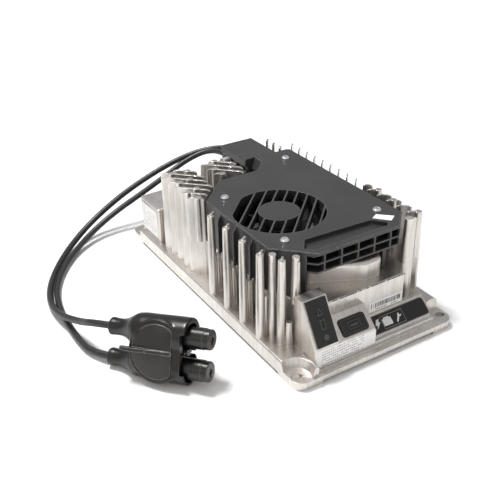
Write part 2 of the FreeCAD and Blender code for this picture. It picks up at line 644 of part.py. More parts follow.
def grille_slats():
    """Deep slats across the opening, at 45 degrees, with the solid disc in their middle."""
    low = COVER_TOP - SLAT_DEPTH
    parts = []
    for k in range(-3, 5):
        slat = box(k * SLAT_PITCH - SLAT_THICK / 2, k * SLAT_PITCH + SLAT_THICK / 2,
                   -GRILLE_RADIUS - 1, GRILLE_RADIUS + 1, low, COVER_TOP - 0.2)
        slat.rotate(V(0, 0, 0), V(0, 0, 1), -45)
        slat.translate(V(GRILLE_X, GRILLE_Y, 0))
        parts.append(slat)
    grid = parts[0].multiFuse(parts[1:]).common(grille_opening(low - 1, COVER_TOP + 1))
    hub = cyl(HUB_DISC_RADIUS, GRILLE_X, GRILLE_Y, low, COVER_TOP - 0.2)
    hollow = cyl(HUB_DISC_RADIUS - 1.8, GRILLE_X, GRILLE_Y, low - 1, COVER_TOP - 2.4)
    return grid.fuse(hub).cut(hollow)


def shroud_skirt():
    """Walls under the plate: full height beside the fan, and round the fins elsewhere."""
    low = SHROUD_FOOT
    top = COVER_TOP - COVER_PLATE + 0.5
    outer = Part.Face(polygon([(x, y, low) for x, y in COVER_POINTS])).extrude(V(0, 0, top - low))
    inner = Part.Face(inset(COVER_POINTS, COVER_WALL, low - 1)).extrude(V(0, 0, top - low + 2))
    ring = outer.cut(inner)
    keep_left = box(COVER_LEFT - 1, COVER_LEFT + 24, COVER_FRONT + 6, FAN_REAR + 8.5, low, top)
    keep_right = box(COVER_RIGHT - 12, COVER_RIGHT + 1, COVER_FRONT + 20, COVER_REAR - 3, low + 13, top)
    keep_lip = box(COVER_LEFT - 1, COVER_RIGHT + 1, COVER_FRONT - 1, 90, top - 4.5, top)
    keep_front = box(COVER_LEFT - 1, COVER_RIGHT + 1, COVER_FRONT - 1, COVER_FRONT + 32, OUTLET_BOTTOM, top)
    keep = keep_left.multiFuse([keep_right, keep_lip, keep_front])
    return ring.common(keep).cut(Part.makeCompound(outlet_rows()))


def outlet_rows():
    """Two long openings round the front of the skirt, one over the other."""
    high = COVER_TOP - COVER_PLATE - 0.5
    mid = (OUTLET_BOTTOM + 1.6 + high) / 2
    x0, x1 = COVER_LEFT + 24, COVER_RIGHT - 7
    return [box(x0, x1, COVER_FRONT - 1, COVER_FRONT + 16, z0, z1)
            for z0, z1 in ((OUTLET_BOTTOM + 1.6, mid - OUTLET_BAR / 2), (mid + OUTLET_BAR / 2, high))]


def outlet_bars():
    """Upright bars of the outlet grille."""
    bars = []
    top = COVER_TOP - COVER_PLATE + 0.5
    first = COVER_LEFT + 38.5
    for k in range(OUTLET_BARS):
        x = first + OUTLET_PITCH * k
        bars.append(box(x - OUTLET_BAR / 2, x + OUTLET_BAR / 2, COVER_FRONT + 0.3, COVER_FRONT + 4,
                        OUTLET_BOTTOM, top))
    corner = COVER_RIGHT - 13
    bars.append(box(corner - OUTLET_BAR / 2, corner + OUTLET_BAR / 2, COVER_FRONT + 7.4, COVER_FRONT + 10,
                    OUTLET_BOTTOM, top))
    return bars


def outlet_floor():
    """Floor of the outlet duct, from the grille back to the fan, clear of the screw bosses."""
    outline = Part.Face(inset(COVER_POINTS, 0.4, OUTLET_BOTTOM)).extrude(V(0, 0, OUTLET_FLOOR))
    floor = outline.common(box(COVER_LEFT, COVER_RIGHT, COVER_FRONT, FAN_FRONT - 1.0, 0, COVER_TOP))
    gaps = [cyl(BOSS_RADIUS + 0.6, x, y, OUTLET_BOTTOM - 1, COVER_TOP) for x, y in SCREW_PLACES]
    return floor.cut(Part.makeCompound(gaps))


def duct_legs():
    """Legs under the outlet duct, a tall one beside the dome and a short stepped one."""
    x, y = 39.8, COVER_FRONT + 7.5
    tall = box(x - 1.6, x + 2.4, y - 2.0, y + 2.0, SHROUD_FOOT, OUTLET_BOTTOM + 0.5)
    step = box(x + 2.0, x + 9.0, y - 2.0, y + 2.0, OUTLET_BOTTOM - 3.5, OUTLET_BOTTOM + 0.5)
    return [tall, step]


def notch_ramp():
    """Sloping wall under the notch edge, beside the terminal cover."""
    x, y0, y1 = COVER_POINTS[3][0], COVER_POINTS[3][1], COVER_REAR
    side = polygon([(x + 0.5, y0, COVER_TOP - 0.6), (x - 4.7, y0, COVER_TOP - 10.0), (x - 4.7, y0, COVER_TOP - 12.0),
                    (x + 0.5, y0, COVER_TOP - 3.0)])
    return Part.Face(side).extrude(V(0, y1 - y0, 0))


def shroud_ribs():
    """Upright ribs that stand out of the side walls, with a chamfered top corner."""
    parts = []
    top = COVER_TOP - 1.5
    for k in range(4):
        y = RIB_FIRST_Y - PIN_PITCH * k + (0.0 if k < 3 else 7.0)
        parts.append(side_rib(COVER_LEFT, -1, y, SHROUD_FOOT + 0.5, top))
    for k in range(4):
        y = COVER_REAR - 22.1 - PIN_PITCH * k
        parts.append(side_rib(COVER_RIGHT, 1, y, SHROUD_FOOT + 14, top, 2.6))
    return parts


def side_rib(x, sign, y, foot, top, out=SHROUD_RIB_OUT):
    points = [(x - sign * 1.0, top), (x, top), (x + sign * out, top - SHROUD_RIB_DROP),
              (x + sign * out, foot), (x - sign * 1.0, foot)]
    wire = polygon([(px, y - SHROUD_RIB_THICK / 2, pz) for px, pz in points])
    return Part.Face(wire).extrude(V(0, SHROUD_RIB_THICK, 0))


def fan_shroud():
    low = COVER_TOP - COVER_PLATE
    plate = prism(COVER_POINTS, low, COVER_TOP)
    rim = [e for e in plate.Edges if e.BoundBox.ZMin > COVER_TOP - 0.1]
    plate = plate.makeChamfer(0.5, rim)
    tray_wall = prism(TRAY_POINTS, COVER_TOP - TRAY_DEPTH - 2.0, low + 0.5)
    tray_cut = Part.Face(inset(TRAY_POINTS, 1.4, COVER_TOP - TRAY_DEPTH)).extrude(V(0, 0, TRAY_DEPTH + 1))
    body = fuse_all([plate, shroud_skirt(), tray_wall, outlet_floor(), notch_ramp()] + shroud_ribs()
                    + outlet_bars() + duct_legs())
    body = body.cut(Part.makeCompound([tray_cut, grille_opening(low - 8, COVER_TOP + 1)]))
    body = body.multiFuse([grille_slats(), fan_collar(low + 0.5)] + fan_bosses(low + 0.5))
    holes = [cyl(SCREW_HOLE_R, x, y, low - 1, COVER_TOP + 1) for x, y in SCREW_PLACES]
    fan_holes = [cyl(1.3, x, y, FAN_TOP - 1, COVER_TOP - 0.9) for x, y in fan_hole_places()]
    return body.cut(Part.makeCompound(holes + fan_holes))


def fan_collar(top):
    """Round collar from the cover plate down to the fan."""
    ring = cyl(GRILLE_RADIUS + 1.8, GRILLE_X, GRILLE_Y, FAN_TOP, top)
    return ring.cut(grille_opening(FAN_TOP - 1, top + 1))


def fan_bosses(top):
    return [cyl(3.6, x, y, FAN_TOP, top) for x, y in fan_hole_places()]


def pan_screws(places, seat, head_r, head_h, shaft_r, length):
    screws = []
    for x, y in places:
        head = turned([(0, seat), (head_r, seat), (head_r, seat + head_h * 0.45), (head_r * 0.72, seat + head_h),
                       (0, seat + head_h)])
        head.translate(V(x, y, 0))
        recess = Part.makeBox(1.1, 4.4, 3, V(x - 0.55, y - 2.2, seat + head_h - 1.3))
        cross = Part.makeBox(4.4, 1.1, 3, V(x - 2.2, y - 0.55, seat + head_h - 1.3))
        shaft = cyl(shaft_r, x, y, seat - length, seat + 0.2)
        screws.append(head.fuse(shaft).cut(Part.makeCompound([recess, cross])))
    return Part.makeCompound(screws)


def terminal_cover():
    outer = box(BOX_LEFT, BOX_RIGHT, BOX_FRONT, BOX_REAR, BOX_FOOT, COVER_TOP)
    edges = [e for e in outer.Edges if e.BoundBox.ZMin > COVER_TOP - 0.1 and e.BoundBox.YMin > BOX_FRONT - 0.1
             and e.BoundBox.YMax > BOX_FRONT + 0.1]
    outer = outer.makeFillet(2.5, edges)
    band_foot = COVER_TOP - BOX_BAND
    step = box(BOX_LEFT - 1, BOX_LEFT + BOX_STEP, BOX_FRONT - 1, BOX_REAR + 1, BOX_FOOT - 1, band_foot)
    inner_left = BOX_LEFT + BOX_STEP + BOX_WALL
    hollow = box(inner_left, BOX_RIGHT - BOX_WALL, BOX_FRONT + BOX_WALL, BOX_REAR - BOX_WALL,
                 BOX_FOOT - 1, COVER_TOP - BOX_WALL)
    mouths = [ycyl(BOOT_RADIUS + 0.05, x, LEAD_Z, BOX_REAR - BOX_WALL - 1, BOX_REAR + 1)
              for x in (LEAD_A_X, LEAD_B_X)]
    clips = [box(BOX_LEFT + 0.4, BOX_LEFT + BOX_STEP + 0.5, y, y + 3.0, BOX_FOOT + 12, band_foot - 2.0)
             for y in (BOX_FRONT + 7, BOX_FRONT + 19, BOX_FRONT + 31)]
    rail = box(BOX_LEFT + 0.8, BOX_LEFT + BOX_STEP + 0.5, BOX_FRONT, BOX_REAR, band_foot - 7.5, band_foot - 5.5)
    ribs = [box(BOX_LEFT - 5, BOX_LEFT + BOX_STEP + 0.5, y, y + 2.2, BOX_FOOT, BOX_FOOT + 22)
            for y in (BOX_FRONT + 7.4, BOX_FRONT + 31.4)]
    return fuse_all([outer.cut(Part.makeCompound([hollow, step] + mouths)), rail] + clips + ribs)


def ycyl(radius, x, z, y0, y1):
    return Part.makeCylinder(radius, y1 - y0, V(x, y0, z), V(0, 1, 0))


def terminal_block():
    length, depth, height = TERMINAL_BLOCK
    x = (LEAD_A_X + LEAD_B_X) / 2
    body = box(x - length / 2, x + length / 2, TERMINAL_Y - depth / 2, TERMINAL_Y + depth / 2, DECK_Z,
               DECK_Z + height)
    fence = box(x - 1.2, x + 1.2, TERMINAL_Y - depth / 2, TERMINAL_Y + depth / 2, DECK_Z, DECK_Z + height + 5)
    bores = [cyl(3.1, px, TERMINAL_Y, DECK_Z - 1, DECK_Z + height + 1) for px in (LEAD_A_X, LEAD_B_X)]
    return body.fuse(fence).cut(Part.makeCompound(bores))


def terminal_studs():
    height = TERMINAL_BLOCK[2]
    parts = []
    for x in (LEAD_A_X, LEAD_B_X):
        shaft = cyl(3.0, x, TERMINAL_Y, DECK_Z - WALL - 8, DECK_Z + height + 6)
        nut = Part.Face(hexagon(x, TERMINAL_Y, 5.0, DECK_Z + height + 0.02)).extrude(V(0, 0, 3.5))
        parts.append(shaft.fuse(nut))
    return Part.makeCompound(parts)


def hexagon(x, y, radius, z):
    return polygon([(x + radius * math.cos(math.radians(60 * k)), y + radius * math.sin(math.radians(60 * k)), z)
                    for k in range(6)])


def lead_boot(x):
    """Rubber boot through the rear wall of the terminal cover, tapered behind it, up to the terminal block."""
    block_rear = TERMINAL_Y + TERMINAL_BLOCK[1] / 2
    neck = ycyl(BOOT_RADIUS, x, LEAD_Z, block_rear, BOX_REAR + 1.5)
    cone = Part.makeCone(BOOT_RADIUS, BOOT_TIP_RADIUS, BOOT_REAR - BOX_REAR - 1.5, V(x, BOX_REAR + 1.5, LEAD_Z),
                         V(0, 1, 0))
    return neck.fuse(cone).removeSplitter()


def fan_hole_places():
    s = FAN_HOLE_SPACING / 2
    return [(GRILLE_X + sx * s, GRILLE_Y + sy * s) for sx in (-1, 1) for sy in (-1, 1)]


FAN_TOP = COVER_TOP - SLAT_DEPTH
FAN_LOW = FAN_TOP - FAN_DEPTH


def fan_frame():
    """Square fan frame: two flanges, a round duct, a motor base and four struts."""
    h = FAN_SIZE / 2
    block = rounded_box(-h, h, -h, h, FAN_LOW, FAN_TOP, 4.0)
    middle = rounded_box(-h - 1, h + 1, -h - 1, h + 1, FAN_LOW + FAN_FLANGE, FAN_TOP - FAN_FLANGE, 4.0)
    duct = cyl(FAN_BORE + FAN_DUCT_WALL - 0.2, 0, 0, FAN_LOW, FAN_TOP)
    block = block.cut(middle.cut(duct))
    block = block.cut(cyl(FAN_BORE, 0, 0, FAN_LOW - 1, FAN_TOP + 1))
    base = cyl(ROTOR_HUB, 0, 0, FAN_LOW, FAN_LOW + 2.5)
    struts = []
    for k in range(4):
        strut = box(ROTOR_HUB - 2, FAN_BORE + 0.8, -1.6, 1.6, FAN_LOW, FAN_LOW + 2.5)
        strut.rotate(V(0, 0, 0), V(0, 0, 1), 20 + 90 * k)
        struts.append(strut)
    tube = cyl(4.5, 0, 0, FAN_LOW, FAN_LOW + 15)
    frame = fuse_all([block, base, tube] + struts)
    holes = [cyl(2.2, sx * FAN_HOLE_SPACING / 2, sy * FAN_HOLE_SPACING / 2, FAN_LOW - 1, FAN_TOP + 1)
             for sx in (-1, 1) for sy in (-1, 1)]
    frame = frame.cut(Part.makeCompound(holes + [cyl(3.0, 0, 0, FAN_LOW + 1, FAN_LOW + 16)]))
    frame.translate(V(GRILLE_X, GRILLE_Y, 0))
    return frame


def fan_bearing():
    """Sleeve in the bearing tube, with room for the shaft."""
    sleeve = cyl(3.0, GRILLE_X, GRILLE_Y, FAN_LOW + 1.6, FAN_LOW + 15)
    return sleeve.cut(cyl(SHAFT_RADIUS + 0.1, GRILLE_X, GRILLE_Y, FAN_LOW, FAN_LOW + 16))


def fan_stator():
    """Laminated stator with four poles round the bearing tube."""
    ring = cyl(8.0, 0, 0, FAN_LOW + 3.5, FAN_LOW + 13)
    poles = []
    for k in range(4):
        arm = box(6, 12.5, -2.5, 2.5, FAN_LOW + 4.5, FAN_LOW + 12)
        shoe = box(11, 14.2, -7, 7, FAN_LOW + 4.5, FAN_LOW + 12)
        pole = arm.fuse(shoe)
        pole.rotate(V(0, 0, 0), V(0, 0, 1), 90 * k)
        poles.append(pole)
    body = fuse_all([ring] + poles).common(cyl(15.5, 0, 0, FAN_LOW, FAN_TOP))
    body = body.fuse(cyl(6.0, 0, 0, FAN_LOW + 2.5, FAN_LOW + 3.5))
    body = body.cut(cyl(4.5, 0, 0, FAN_LOW, FAN_TOP))
    body.translate(V(GRILLE_X, GRILLE_Y, 0))
    return body


ROTOR_TOP = FAN_TOP - 1.5


def fan_rotor():
    """Hub cup with twisted blades."""
    low = FAN_LOW + 4.0
    cup = turned([(ROTOR_HUB, low), (ROTOR_HUB, ROTOR_TOP - 2), (ROTOR_HUB - 2, ROTOR_TOP), (0, ROTOR_TOP),
                  (0, ROTOR_TOP - 1.6), (ROTOR_HUB - 3, ROTOR_TOP - 1.6), (ROTOR_HUB - ROTOR_WALL, ROTOR_TOP - 3),
                  (ROTOR_HUB - ROTOR_WALL, low)])
    cup = cup.fuse(cyl(4.0, 0, 0, ROTOR_TOP - 3.2, ROTOR_TOP - 1.0))
    blades = []
    mid = (low + ROTOR_TOP) / 2
    for k in range(BLADES):
        wires = []
        for radius, pitch in ((ROTOR_HUB - 1.0, 48), (31, 36), (ROTOR_TIP + 4, 28)):
            wires.append(blade_section(radius, pitch, mid))
        blade = Part.makeLoft(wires, True, True)
        blade.rotate(V(0, 0, 0), V(0, 0, 1), 360 / BLADES * k)
        blades.append(blade)
    band = cyl(ROTOR_TIP, 0, 0, low, ROTOR_TOP - 0.5).cut(cyl(ROTOR_HUB - ROTOR_WALL / 2, 0, 0, low - 1, FAN_TOP))
    blades = [b.common(band) for b in blades]
    rotor = fuse_all([cup] + blades).cut(cyl(SHAFT_RADIUS, 0, 0, FAN_LOW, ROTOR_TOP - 1.2))
    rotor.translate(V(GRILLE_X, GRILLE_Y, 0))
    return rotor


def blade_section(radius, pitch_deg, mid_z):
    """Slim four-sided section across the blade at one radius."""
    c, t = BLADE_CHORD / 2, BLADE_THICK / 2
    ca, sa = math.cos(math.radians(pitch_deg)), math.sin(math.radians(pitch_deg))
    corners = []
    for s, n in ((-c, 0), (0, -t), (c, 0), (0, t)):
        bow = 1.6 if s == 0 else 0.0
        corners.append((radius, s * ca - (n + bow) * sa, mid_z + s * sa + (n + bow) * ca))
    return polygon(corners)


def fan_shaft():
    return cyl(SHAFT_RADIUS, GRILLE_X, GRILLE_Y, FAN_LOW + 2.2, ROTOR_TOP - 1.2)


def fan_screws():
    parts = []
    for x, y in fan_hole_places():
        head = cyl(3.4, x, y, FAN_LOW - 2.2, FAN_LOW)
        shaft = cyl(1.3, x, y, FAN_LOW - 1, COVER_TOP - 1.0)
        parts.append(head.fuse(shaft).cut(Part.makeBox(4, 0.9, 1, V(x - 2, y - 0.45, FAN_LOW - 2.4))))
    return Part.makeCompound(parts)


def rubber_plug(size, matrix):
    """Press-in rubber plug with rounded corners, a proud face and a stepped skirt."""
    w, h = size[0] / 2 - PLUG_GAP, size[1] / 2 - PLUG_GAP
    face = rounded_box(-w, w, -h, h, -2.0, PLUG_STAND, 2.8)
    face = face.makeFillet(0.7, [e for e in face.Edges if e.BoundBox.ZMin > PLUG_STAND - 0.05])
    skirt = rounded_box(-w + 2.5, w - 2.5, -h + 2.5, h - 2.5, -5.0, -1.9, 1.5)
    return placed(face.fuse(skirt), matrix)


def port_block(size, matrix):
    """Socket on the floor of a port pocket, behind its plug."""
    w, h = size[0] / 2 - 3.5, size[1] / 2 - 3.5
    body = box(-w, w, -h, h, -PORT_DEPTH, -5.6)
    mouth = box(-w + 1.4, w - 1.4, -h + 1.4, h - 1.4, -PORT_DEPTH + 1.2, -5)
    tongue = box(-w + 2.6, w - 2.6, -0.8, 0.8, -PORT_DEPTH + 1, -6.4)
    return placed(body.cut(mouth).fuse(tongue), matrix)


def panel_label():
    """Thin overlay on the sloping panel, with two rounded corners at its right end."""
    x0, x1 = PANEL_LABEL_LEFT - 37.0, PANEL_LABEL_RIGHT - 37.0
    h = PANEL_LABEL_HEIGHT / 2
    plate = box(x0, x1, -h, h, 0, 0.3)
    plate = plate.makeFillet(PANEL_LABEL_ROUND, [e for e in upright_edges_low(plate) if e.BoundBox.XMin > x1 - 0.1])
    return placed(plate, PANEL_SLOPE)


def upright_edges_low(shape):
    return [e for e in shape.Edges if e.BoundBox.XLength < 0.01 and e.BoundBox.YLength < 0.01]


def front_label():
    """L-shaped label on the upright front face."""
    points = [(-64.5, 10.2), (70.0, 10.2), (70.0, 12.0), (-0.2, 12.0), (-0.2, 26.5), (-64.5, 29.0)]
    wire = polygon([(x, FRONT_FACE, z) for x, z in points])
    return Part.Face(wire).extrude(V(0, -0.3, 0))


def code_label():
    return box(9.5, 49.5, DECK_FRONT - 0.3, DECK_FRONT, PANEL_HIGH_Z + 0.6, PANEL_HIGH_Z + 11.2)


def small_sticker():
    """Sticker on the cover plate at the end of the tray."""
    front = COVER_FRONT
    points = [(47.2, front + 28.4), (59.4, front + 16.6), (51.0, front + 11.2), (39.5, front + 24.5)]
    return prism(points, COVER_TOP, COVER_TOP + 0.3)


def rating_label():
    y0, y1 = INLET_BLOCK_FRONT + 4, INLET_BLOCK_REAR - 4
    return box(-INLET_BLOCK_OUT - 0.3, -INLET_BLOCK_OUT, y0, y1, LEDGE_TOP + 5, INLET_BLOCK_TOP - 6)


def mains_inlet():
    """Three-pin mains socket let into the rear wall."""
    w, h = INLET_WIDTH / 2 + 2.0, INLET_HEIGHT / 2 + 2.0
    x0, x1 = INLET_X - w, INLET_X + w
    z0, z1 = INLET_Z - h, INLET_Z + h
    body = box(x0, x1, DECK_REAR - INLET_DEPTH - 3, DECK_REAR, z0, z1)
    fw, fh = INLET_FLANGE_W / 2, INLET_FLANGE_H / 2
    flange = box(INLET_X - fw, INLET_X + fw, DECK_REAR, DECK_REAR + INLET_FLANGE_T, INLET_Z - fh, INLET_Z + fh)
    well = box(INLET_X - INLET_WIDTH / 2, INLET_X + INLET_WIDTH / 2, DECK_REAR - INLET_DEPTH,
               DECK_REAR + INLET_FLANGE_T + 1, INLET_Z - INLET_HEIGHT / 2, INLET_Z + INLET_HEIGHT / 2)
    well = well.makeChamfer(4.5, [e for e in well.Edges if e.BoundBox.YLength > 5
                                  and e.BoundBox.ZMin > INLET_Z + 1])
    holes = [ycyl(1.7, INLET_X + s * 20.0, INLET_Z, DECK_REAR - 1, DECK_REAR + 5) for s in (-1, 1)]
    slots = [inlet_pin(dx, dz, 0.0) for dx, dz in INLET_PINS]
    return body.fuse(flange).cut(Part.makeCompound([well] + holes + slots))


INLET_PINS = ((-7.0, -1.5), (7.0, -1.5), (0.0, 2.5))


def inlet_pin(dx, dz, out=10.0):
    x, z = INLET_X + dx, INLET_Z + dz
    rear = DECK_REAR - INLET_DEPTH + out
    return box(x - 1.0, x + 1.0, DECK_REAR - INLET_DEPTH - 6, rear, z - 2.0, z + 2.0)


def inlet_screws():
    parts = []
    for s in (-1, 1):
        x = INLET_X + s * 20.0
        head = ycyl(3.0, x, INLET_Z, DECK_REAR + INLET_FLANGE_T, DECK_REAR + INLET_FLANGE_T + 1.8)
        shaft = ycyl(1.6, x, INLET_Z, DECK_REAR + 0.05, DECK_REAR + INLET_FLANGE_T + 0.2)
        parts.append(head.fuse(shaft).cut(box(x - 1.8, x + 1.8, DECK_REAR + INLET_FLANGE_T + 1.0,
                                              DECK_REAR + INLET_FLANGE_T + 3, INLET_Z - 0.4, INLET_Z + 0.4)))
    return Part.makeCompound(parts)


BOARD_TOP = BOARD_Z + BOARD_THICK


def main_board():
    board = box(-BOARD_HALF_X, BOARD_HALF_X, BOARD_FRONT, BOARD_REAR, BOARD_Z, BOARD_TOP)
    holes = [cyl(1.8, x, y, BOARD_Z - 1, BOARD_TOP + 1) for x, y in board_screw_places()]
    return board.cut(Part.makeCompound(holes))


def board_screws():
    parts = []
    for x, y in board_screw_places():
        head = cyl(2.8, x, y, BOARD_Z - 2.0, BOARD_Z)
        parts.append(head.fuse(cyl(1.3, x, y, BOARD_Z - 1, BOARD_TOP + 7)))
    return Part.makeCompound(parts)


def transformer_core():
    """Two E halves closed round the winding."""
    outer = box(-22, 22, -112, -70, BOARD_TOP, BOARD_TOP + 34)
    window = box(-15, 15, -113, -69, BOARD_TOP + 6, BOARD_TOP + 28)
    leg = box(-6, 6, -112, -70, BOARD_TOP + 5, BOARD_TOP + 29)
    return outer.cut(window).fuse(leg)


def transformer_winding():
    outer = rounded_box(-14.5, 14.5, -118, -64, BOARD_TOP + 6.5, BOARD_TOP + 27.5, 6.0)
    return outer.cut(box(-6.3, 6.3, -112.4, -69.6, BOARD_TOP, BOARD_TOP + 40))


def ring_coil(x, y, radius, bore, height):
    ring = cyl(radius, x, y, BOARD_TOP, BOARD_TOP + height).cut(cyl(bore, x, y, BOARD_TOP - 1, BOARD_TOP + height + 1))
    return ring.makeFillet(2.5, [e for e in ring.Edges if e.BoundBox.ZLength < 0.1
                                 and e.BoundBox.XLength > 2 * radius - 1])


def cylinders_on_board(places, radius, height):
    parts = []
    for x, y in places:
        can = cyl(radius, x, y, BOARD_TOP, BOARD_TOP + height)
        parts.append(can.makeFillet(1.0, [e for e in can.Edges if e.BoundBox.ZMin > BOARD_TOP + height - 0.1]))
    return Part.makeCompound(parts)


def power_devices():
    parts = []
    for k in range(6):
        y = -90.0 + 15 * k
        x1 = DECK_HALF_WIDTH - WALL
        parts.append(box(x1 - 5.0, x1, y, y + 11, 22, 42))
    return Part.makeCompound(parts)


def clamp_bar():
    x1 = DECK_HALF_WIDTH - WALL - 5.0
    return box(x1 - 3.0, x1, -94, 0, 29, 37)


def on_board(x0, x1, y0, y1, height):
    return box(x0, x1, y0, y1, BOARD_TOP, BOARD_TOP + height)


def fuse_holder():
    holder = on_board(28, 40, 60, 84, 12)
    return holder.cut(box(31, 37, 59, 85, BOARD_TOP + 4, BOARD_TOP + 13))


def fuse_link():
    return Part.makeCylinder(2.9, 20, V(34, 62, BOARD_TOP + 6.95), V(0, 1, 0))


def connector_matrix(height):
    """Placement of the connector: forward u, across v, outward w."""
    yaw, pitch, roll = (math.radians(a) for a in (CONNECTOR_YAW, CONNECTOR_PITCH, CONNECTOR_ROLL))
    u = V(math.cos(pitch) * math.cos(yaw), math.cos(pitch) * math.sin(yaw), math.sin(pitch))
    level = u.cross(V(0, 0, 1)).normalize()
    rise = level.cross(u)
    v = rise * math.cos(roll) + level * math.sin(roll)
    w = u.cross(v)
    at = CONNECTOR_AT
    return FreeCAD.Matrix(u.x, v.x, w.x, at.x, u.y, v.y, w.y, at.y, u.z, v.z, w.z, at.z + height, 0, 0, 0, 1)


def ucyl(radius, u0, u1, v, w=0.0):
    return Part.makeCylinder(radius, u1 - u0, V(u0, v, w), V(1, 0, 0))


def ucone(r0, r1, u0, u1, v):
    return Part.makeCone(r0, r1, u1 - u0, V(u0, v, 0), V(1, 0, 0))


def d_plate(radius, flat, w0, w1):
    disc = cyl(radius, 0, 0, w0, w1)
    return disc.common(box(-radius - 1, flat, -radius - 1, radius + 1, w0 - 1, w1 + 1))


def connector_body():
    """Two moulded tubes with cord boots, joined by a web, open in front round the contact sleeves."""
    half = SLEEVE_SPACING / 2
    parts = []
    for v in (-half, half):
        parts.append(ucone(HOOD_BACK_RADIUS, HOOD_RADIUS, HOOD_REAR, HOOD_FRONT, v))
        parts.append(ucone(NECK_RADIUS, HOOD_BACK_RADIUS, NECK_REAR, HOOD_REAR, v))
        parts.append(ucone(CORD_BOOT_RADIUS, NECK_RADIUS, CORD_BOOT_REAR, NECK_REAR, v))
    parts.append(box(HOOD_REAR, HOOD_FRONT - 6, -half, half, -HOOD_BACK_RADIUS + 2, HOOD_BACK_RADIUS - 1))
    parts.append(d_plate(COLLAR_RADIUS, COLLAR_FLAT, 4.0, COLLAR_TOP))
    body = fuse_all(parts)
    cuts = []
    for v in (-half, half):
        cuts.append(ucyl(HOOD_RADIUS - HOOD_WALL, SLEEVE_ROOT, HOOD_FRONT + 1, v))
    cuts.append(box(SLEEVE_ROOT, HOOD_FRONT + 1, -half, half, -HOOD_RADIUS + 5, HOOD_RADIUS - 5))
    cuts.append(box(COLLAR_FLAT - 3.0, HOOD_FRONT + 1, -half - 4, half + 4, 0, HOOD_RADIUS + 1))
    cuts.append(d_plate(GRIP_RADIUS + 0.2, GRIP_FLAT + 0.2, COLLAR_TOP - 2.0, COLLAR_TOP + 2))
    for v in (-half, half):
        cuts.append(ucyl(SLEEVE_RADIUS - 1.5, SLEEVE_ROOT - 8, SLEEVE_ROOT + 1, v))
    key = ucyl(SLEEVE_SPACING / 2 - SLEEVE_COLLAR - 0.4, SLEEVE_ROOT - 2, HOOD_FRONT - 4, 0)
    return body.cut(Part.makeCompound(cuts)).fuse(key)


def grip_plate():
    """D-shaped cap let into the body, with a finger bar that runs out over the cord side."""
    plate = d_plate(GRIP_RADIUS, GRIP_FLAT, COLLAR_TOP - 2.0, GRIP_FACE)
    plate = plate.makeFillet(0.8, [e for e in plate.Edges if e.BoundBox.ZMin > GRIP_FACE - 0.1])
    side = polygon([(-34, -1.6, COLLAR_TOP + 1.0), (-34, -1.6, 19.5), (-31, -1.6, 21.0), (-8, -1.6, 19.5),
                    (GRIP_FLAT - 1.5, -1.6, GRIP_FACE + 1.0), (GRIP_FLAT - 1.5, -1.6, GRIP_FACE - 0.5),
                    (-GRIP_RADIUS + 1, -1.6, GRIP_FACE - 0.5)])
    bar = Part.Face(side).extrude(V(0, 3.2, 0))
    return plate.fuse(bar)


def contact_sleeve(v):
    """Insulating sleeve with a root collar, a rim groove and a keyed mouth."""
    profile = [(0, SLEEVE_ROOT - 7.5), (SLEEVE_RADIUS - 1.8, SLEEVE_ROOT - 7.5), (SLEEVE_RADIUS - 1.8, SLEEVE_ROOT),
               (SLEEVE_COLLAR, SLEEVE_ROOT), (SLEEVE_COLLAR, SLEEVE_ROOT + 8), (SLEEVE_RADIUS, SLEEVE_ROOT + 9.5),
               (SLEEVE_RADIUS, SLEEVE_FACE - 6.2), (SLEEVE_RADIUS - 0.5, SLEEVE_FACE - 5.6),
               (SLEEVE_RADIUS - 0.5, SLEEVE_FACE - 0.6), (SLEEVE_RADIUS - 1.1, SLEEVE_FACE), (0, SLEEVE_FACE)]
    sleeve = turned(profile)
    sleeve.rotate(V(0, 0, 0), V(0, 1, 0), 90)
    bore = ucyl(CONTACT_RADIUS + 0.1, SLEEVE_FACE - 24, SLEEVE_FACE + 1, 0)
    key = box(SLEEVE_FACE - 4, SLEEVE_FACE + 1, -4.8, 0, -1.4, 1.4)
    notches = [box(SLEEVE_FACE - 2.5, SLEEVE_FACE + 1, s * 9.0 - 1.2, s * 9.0 + 1.2, -1.3, 1.3) for s in (-1, 1)]
    sleeve = sleeve.cut(Part.makeCompound([bore, key] + notches))
    sleeve.translate(V(0, v, 0))
    return sleeve


def contact_socket(v):
    tube = ucyl(CONTACT_RADIUS, SLEEVE_FACE - 24, SLEEVE_FACE - 1.5, v)
    return tube.cut(ucyl(CONTACT_BORE, SLEEVE_FACE - 18, SLEEVE_FACE, v))


def connector_parts():
    half = SLEEVE_SPACING / 2
    parts = {"connector_body": connector_body(), "connector_grip": grip_plate(),
             "contact_sleeve_upper": contact_sleeve(half), "contact_sleeve_lower": contact_sleeve(-half),
             "contact_socket_upper": contact_socket(half), "contact_socket_lower": contact_socket(-half)}
    matrix = connector_matrix(0.0)
    lowest = min(placed(s, matrix).optimalBoundingBox(False).ZMin for s in parts.values())
    matrix = connector_matrix(-lowest)
    return {name: placed(shape, matrix) for name, shape in parts.items()}, matrix


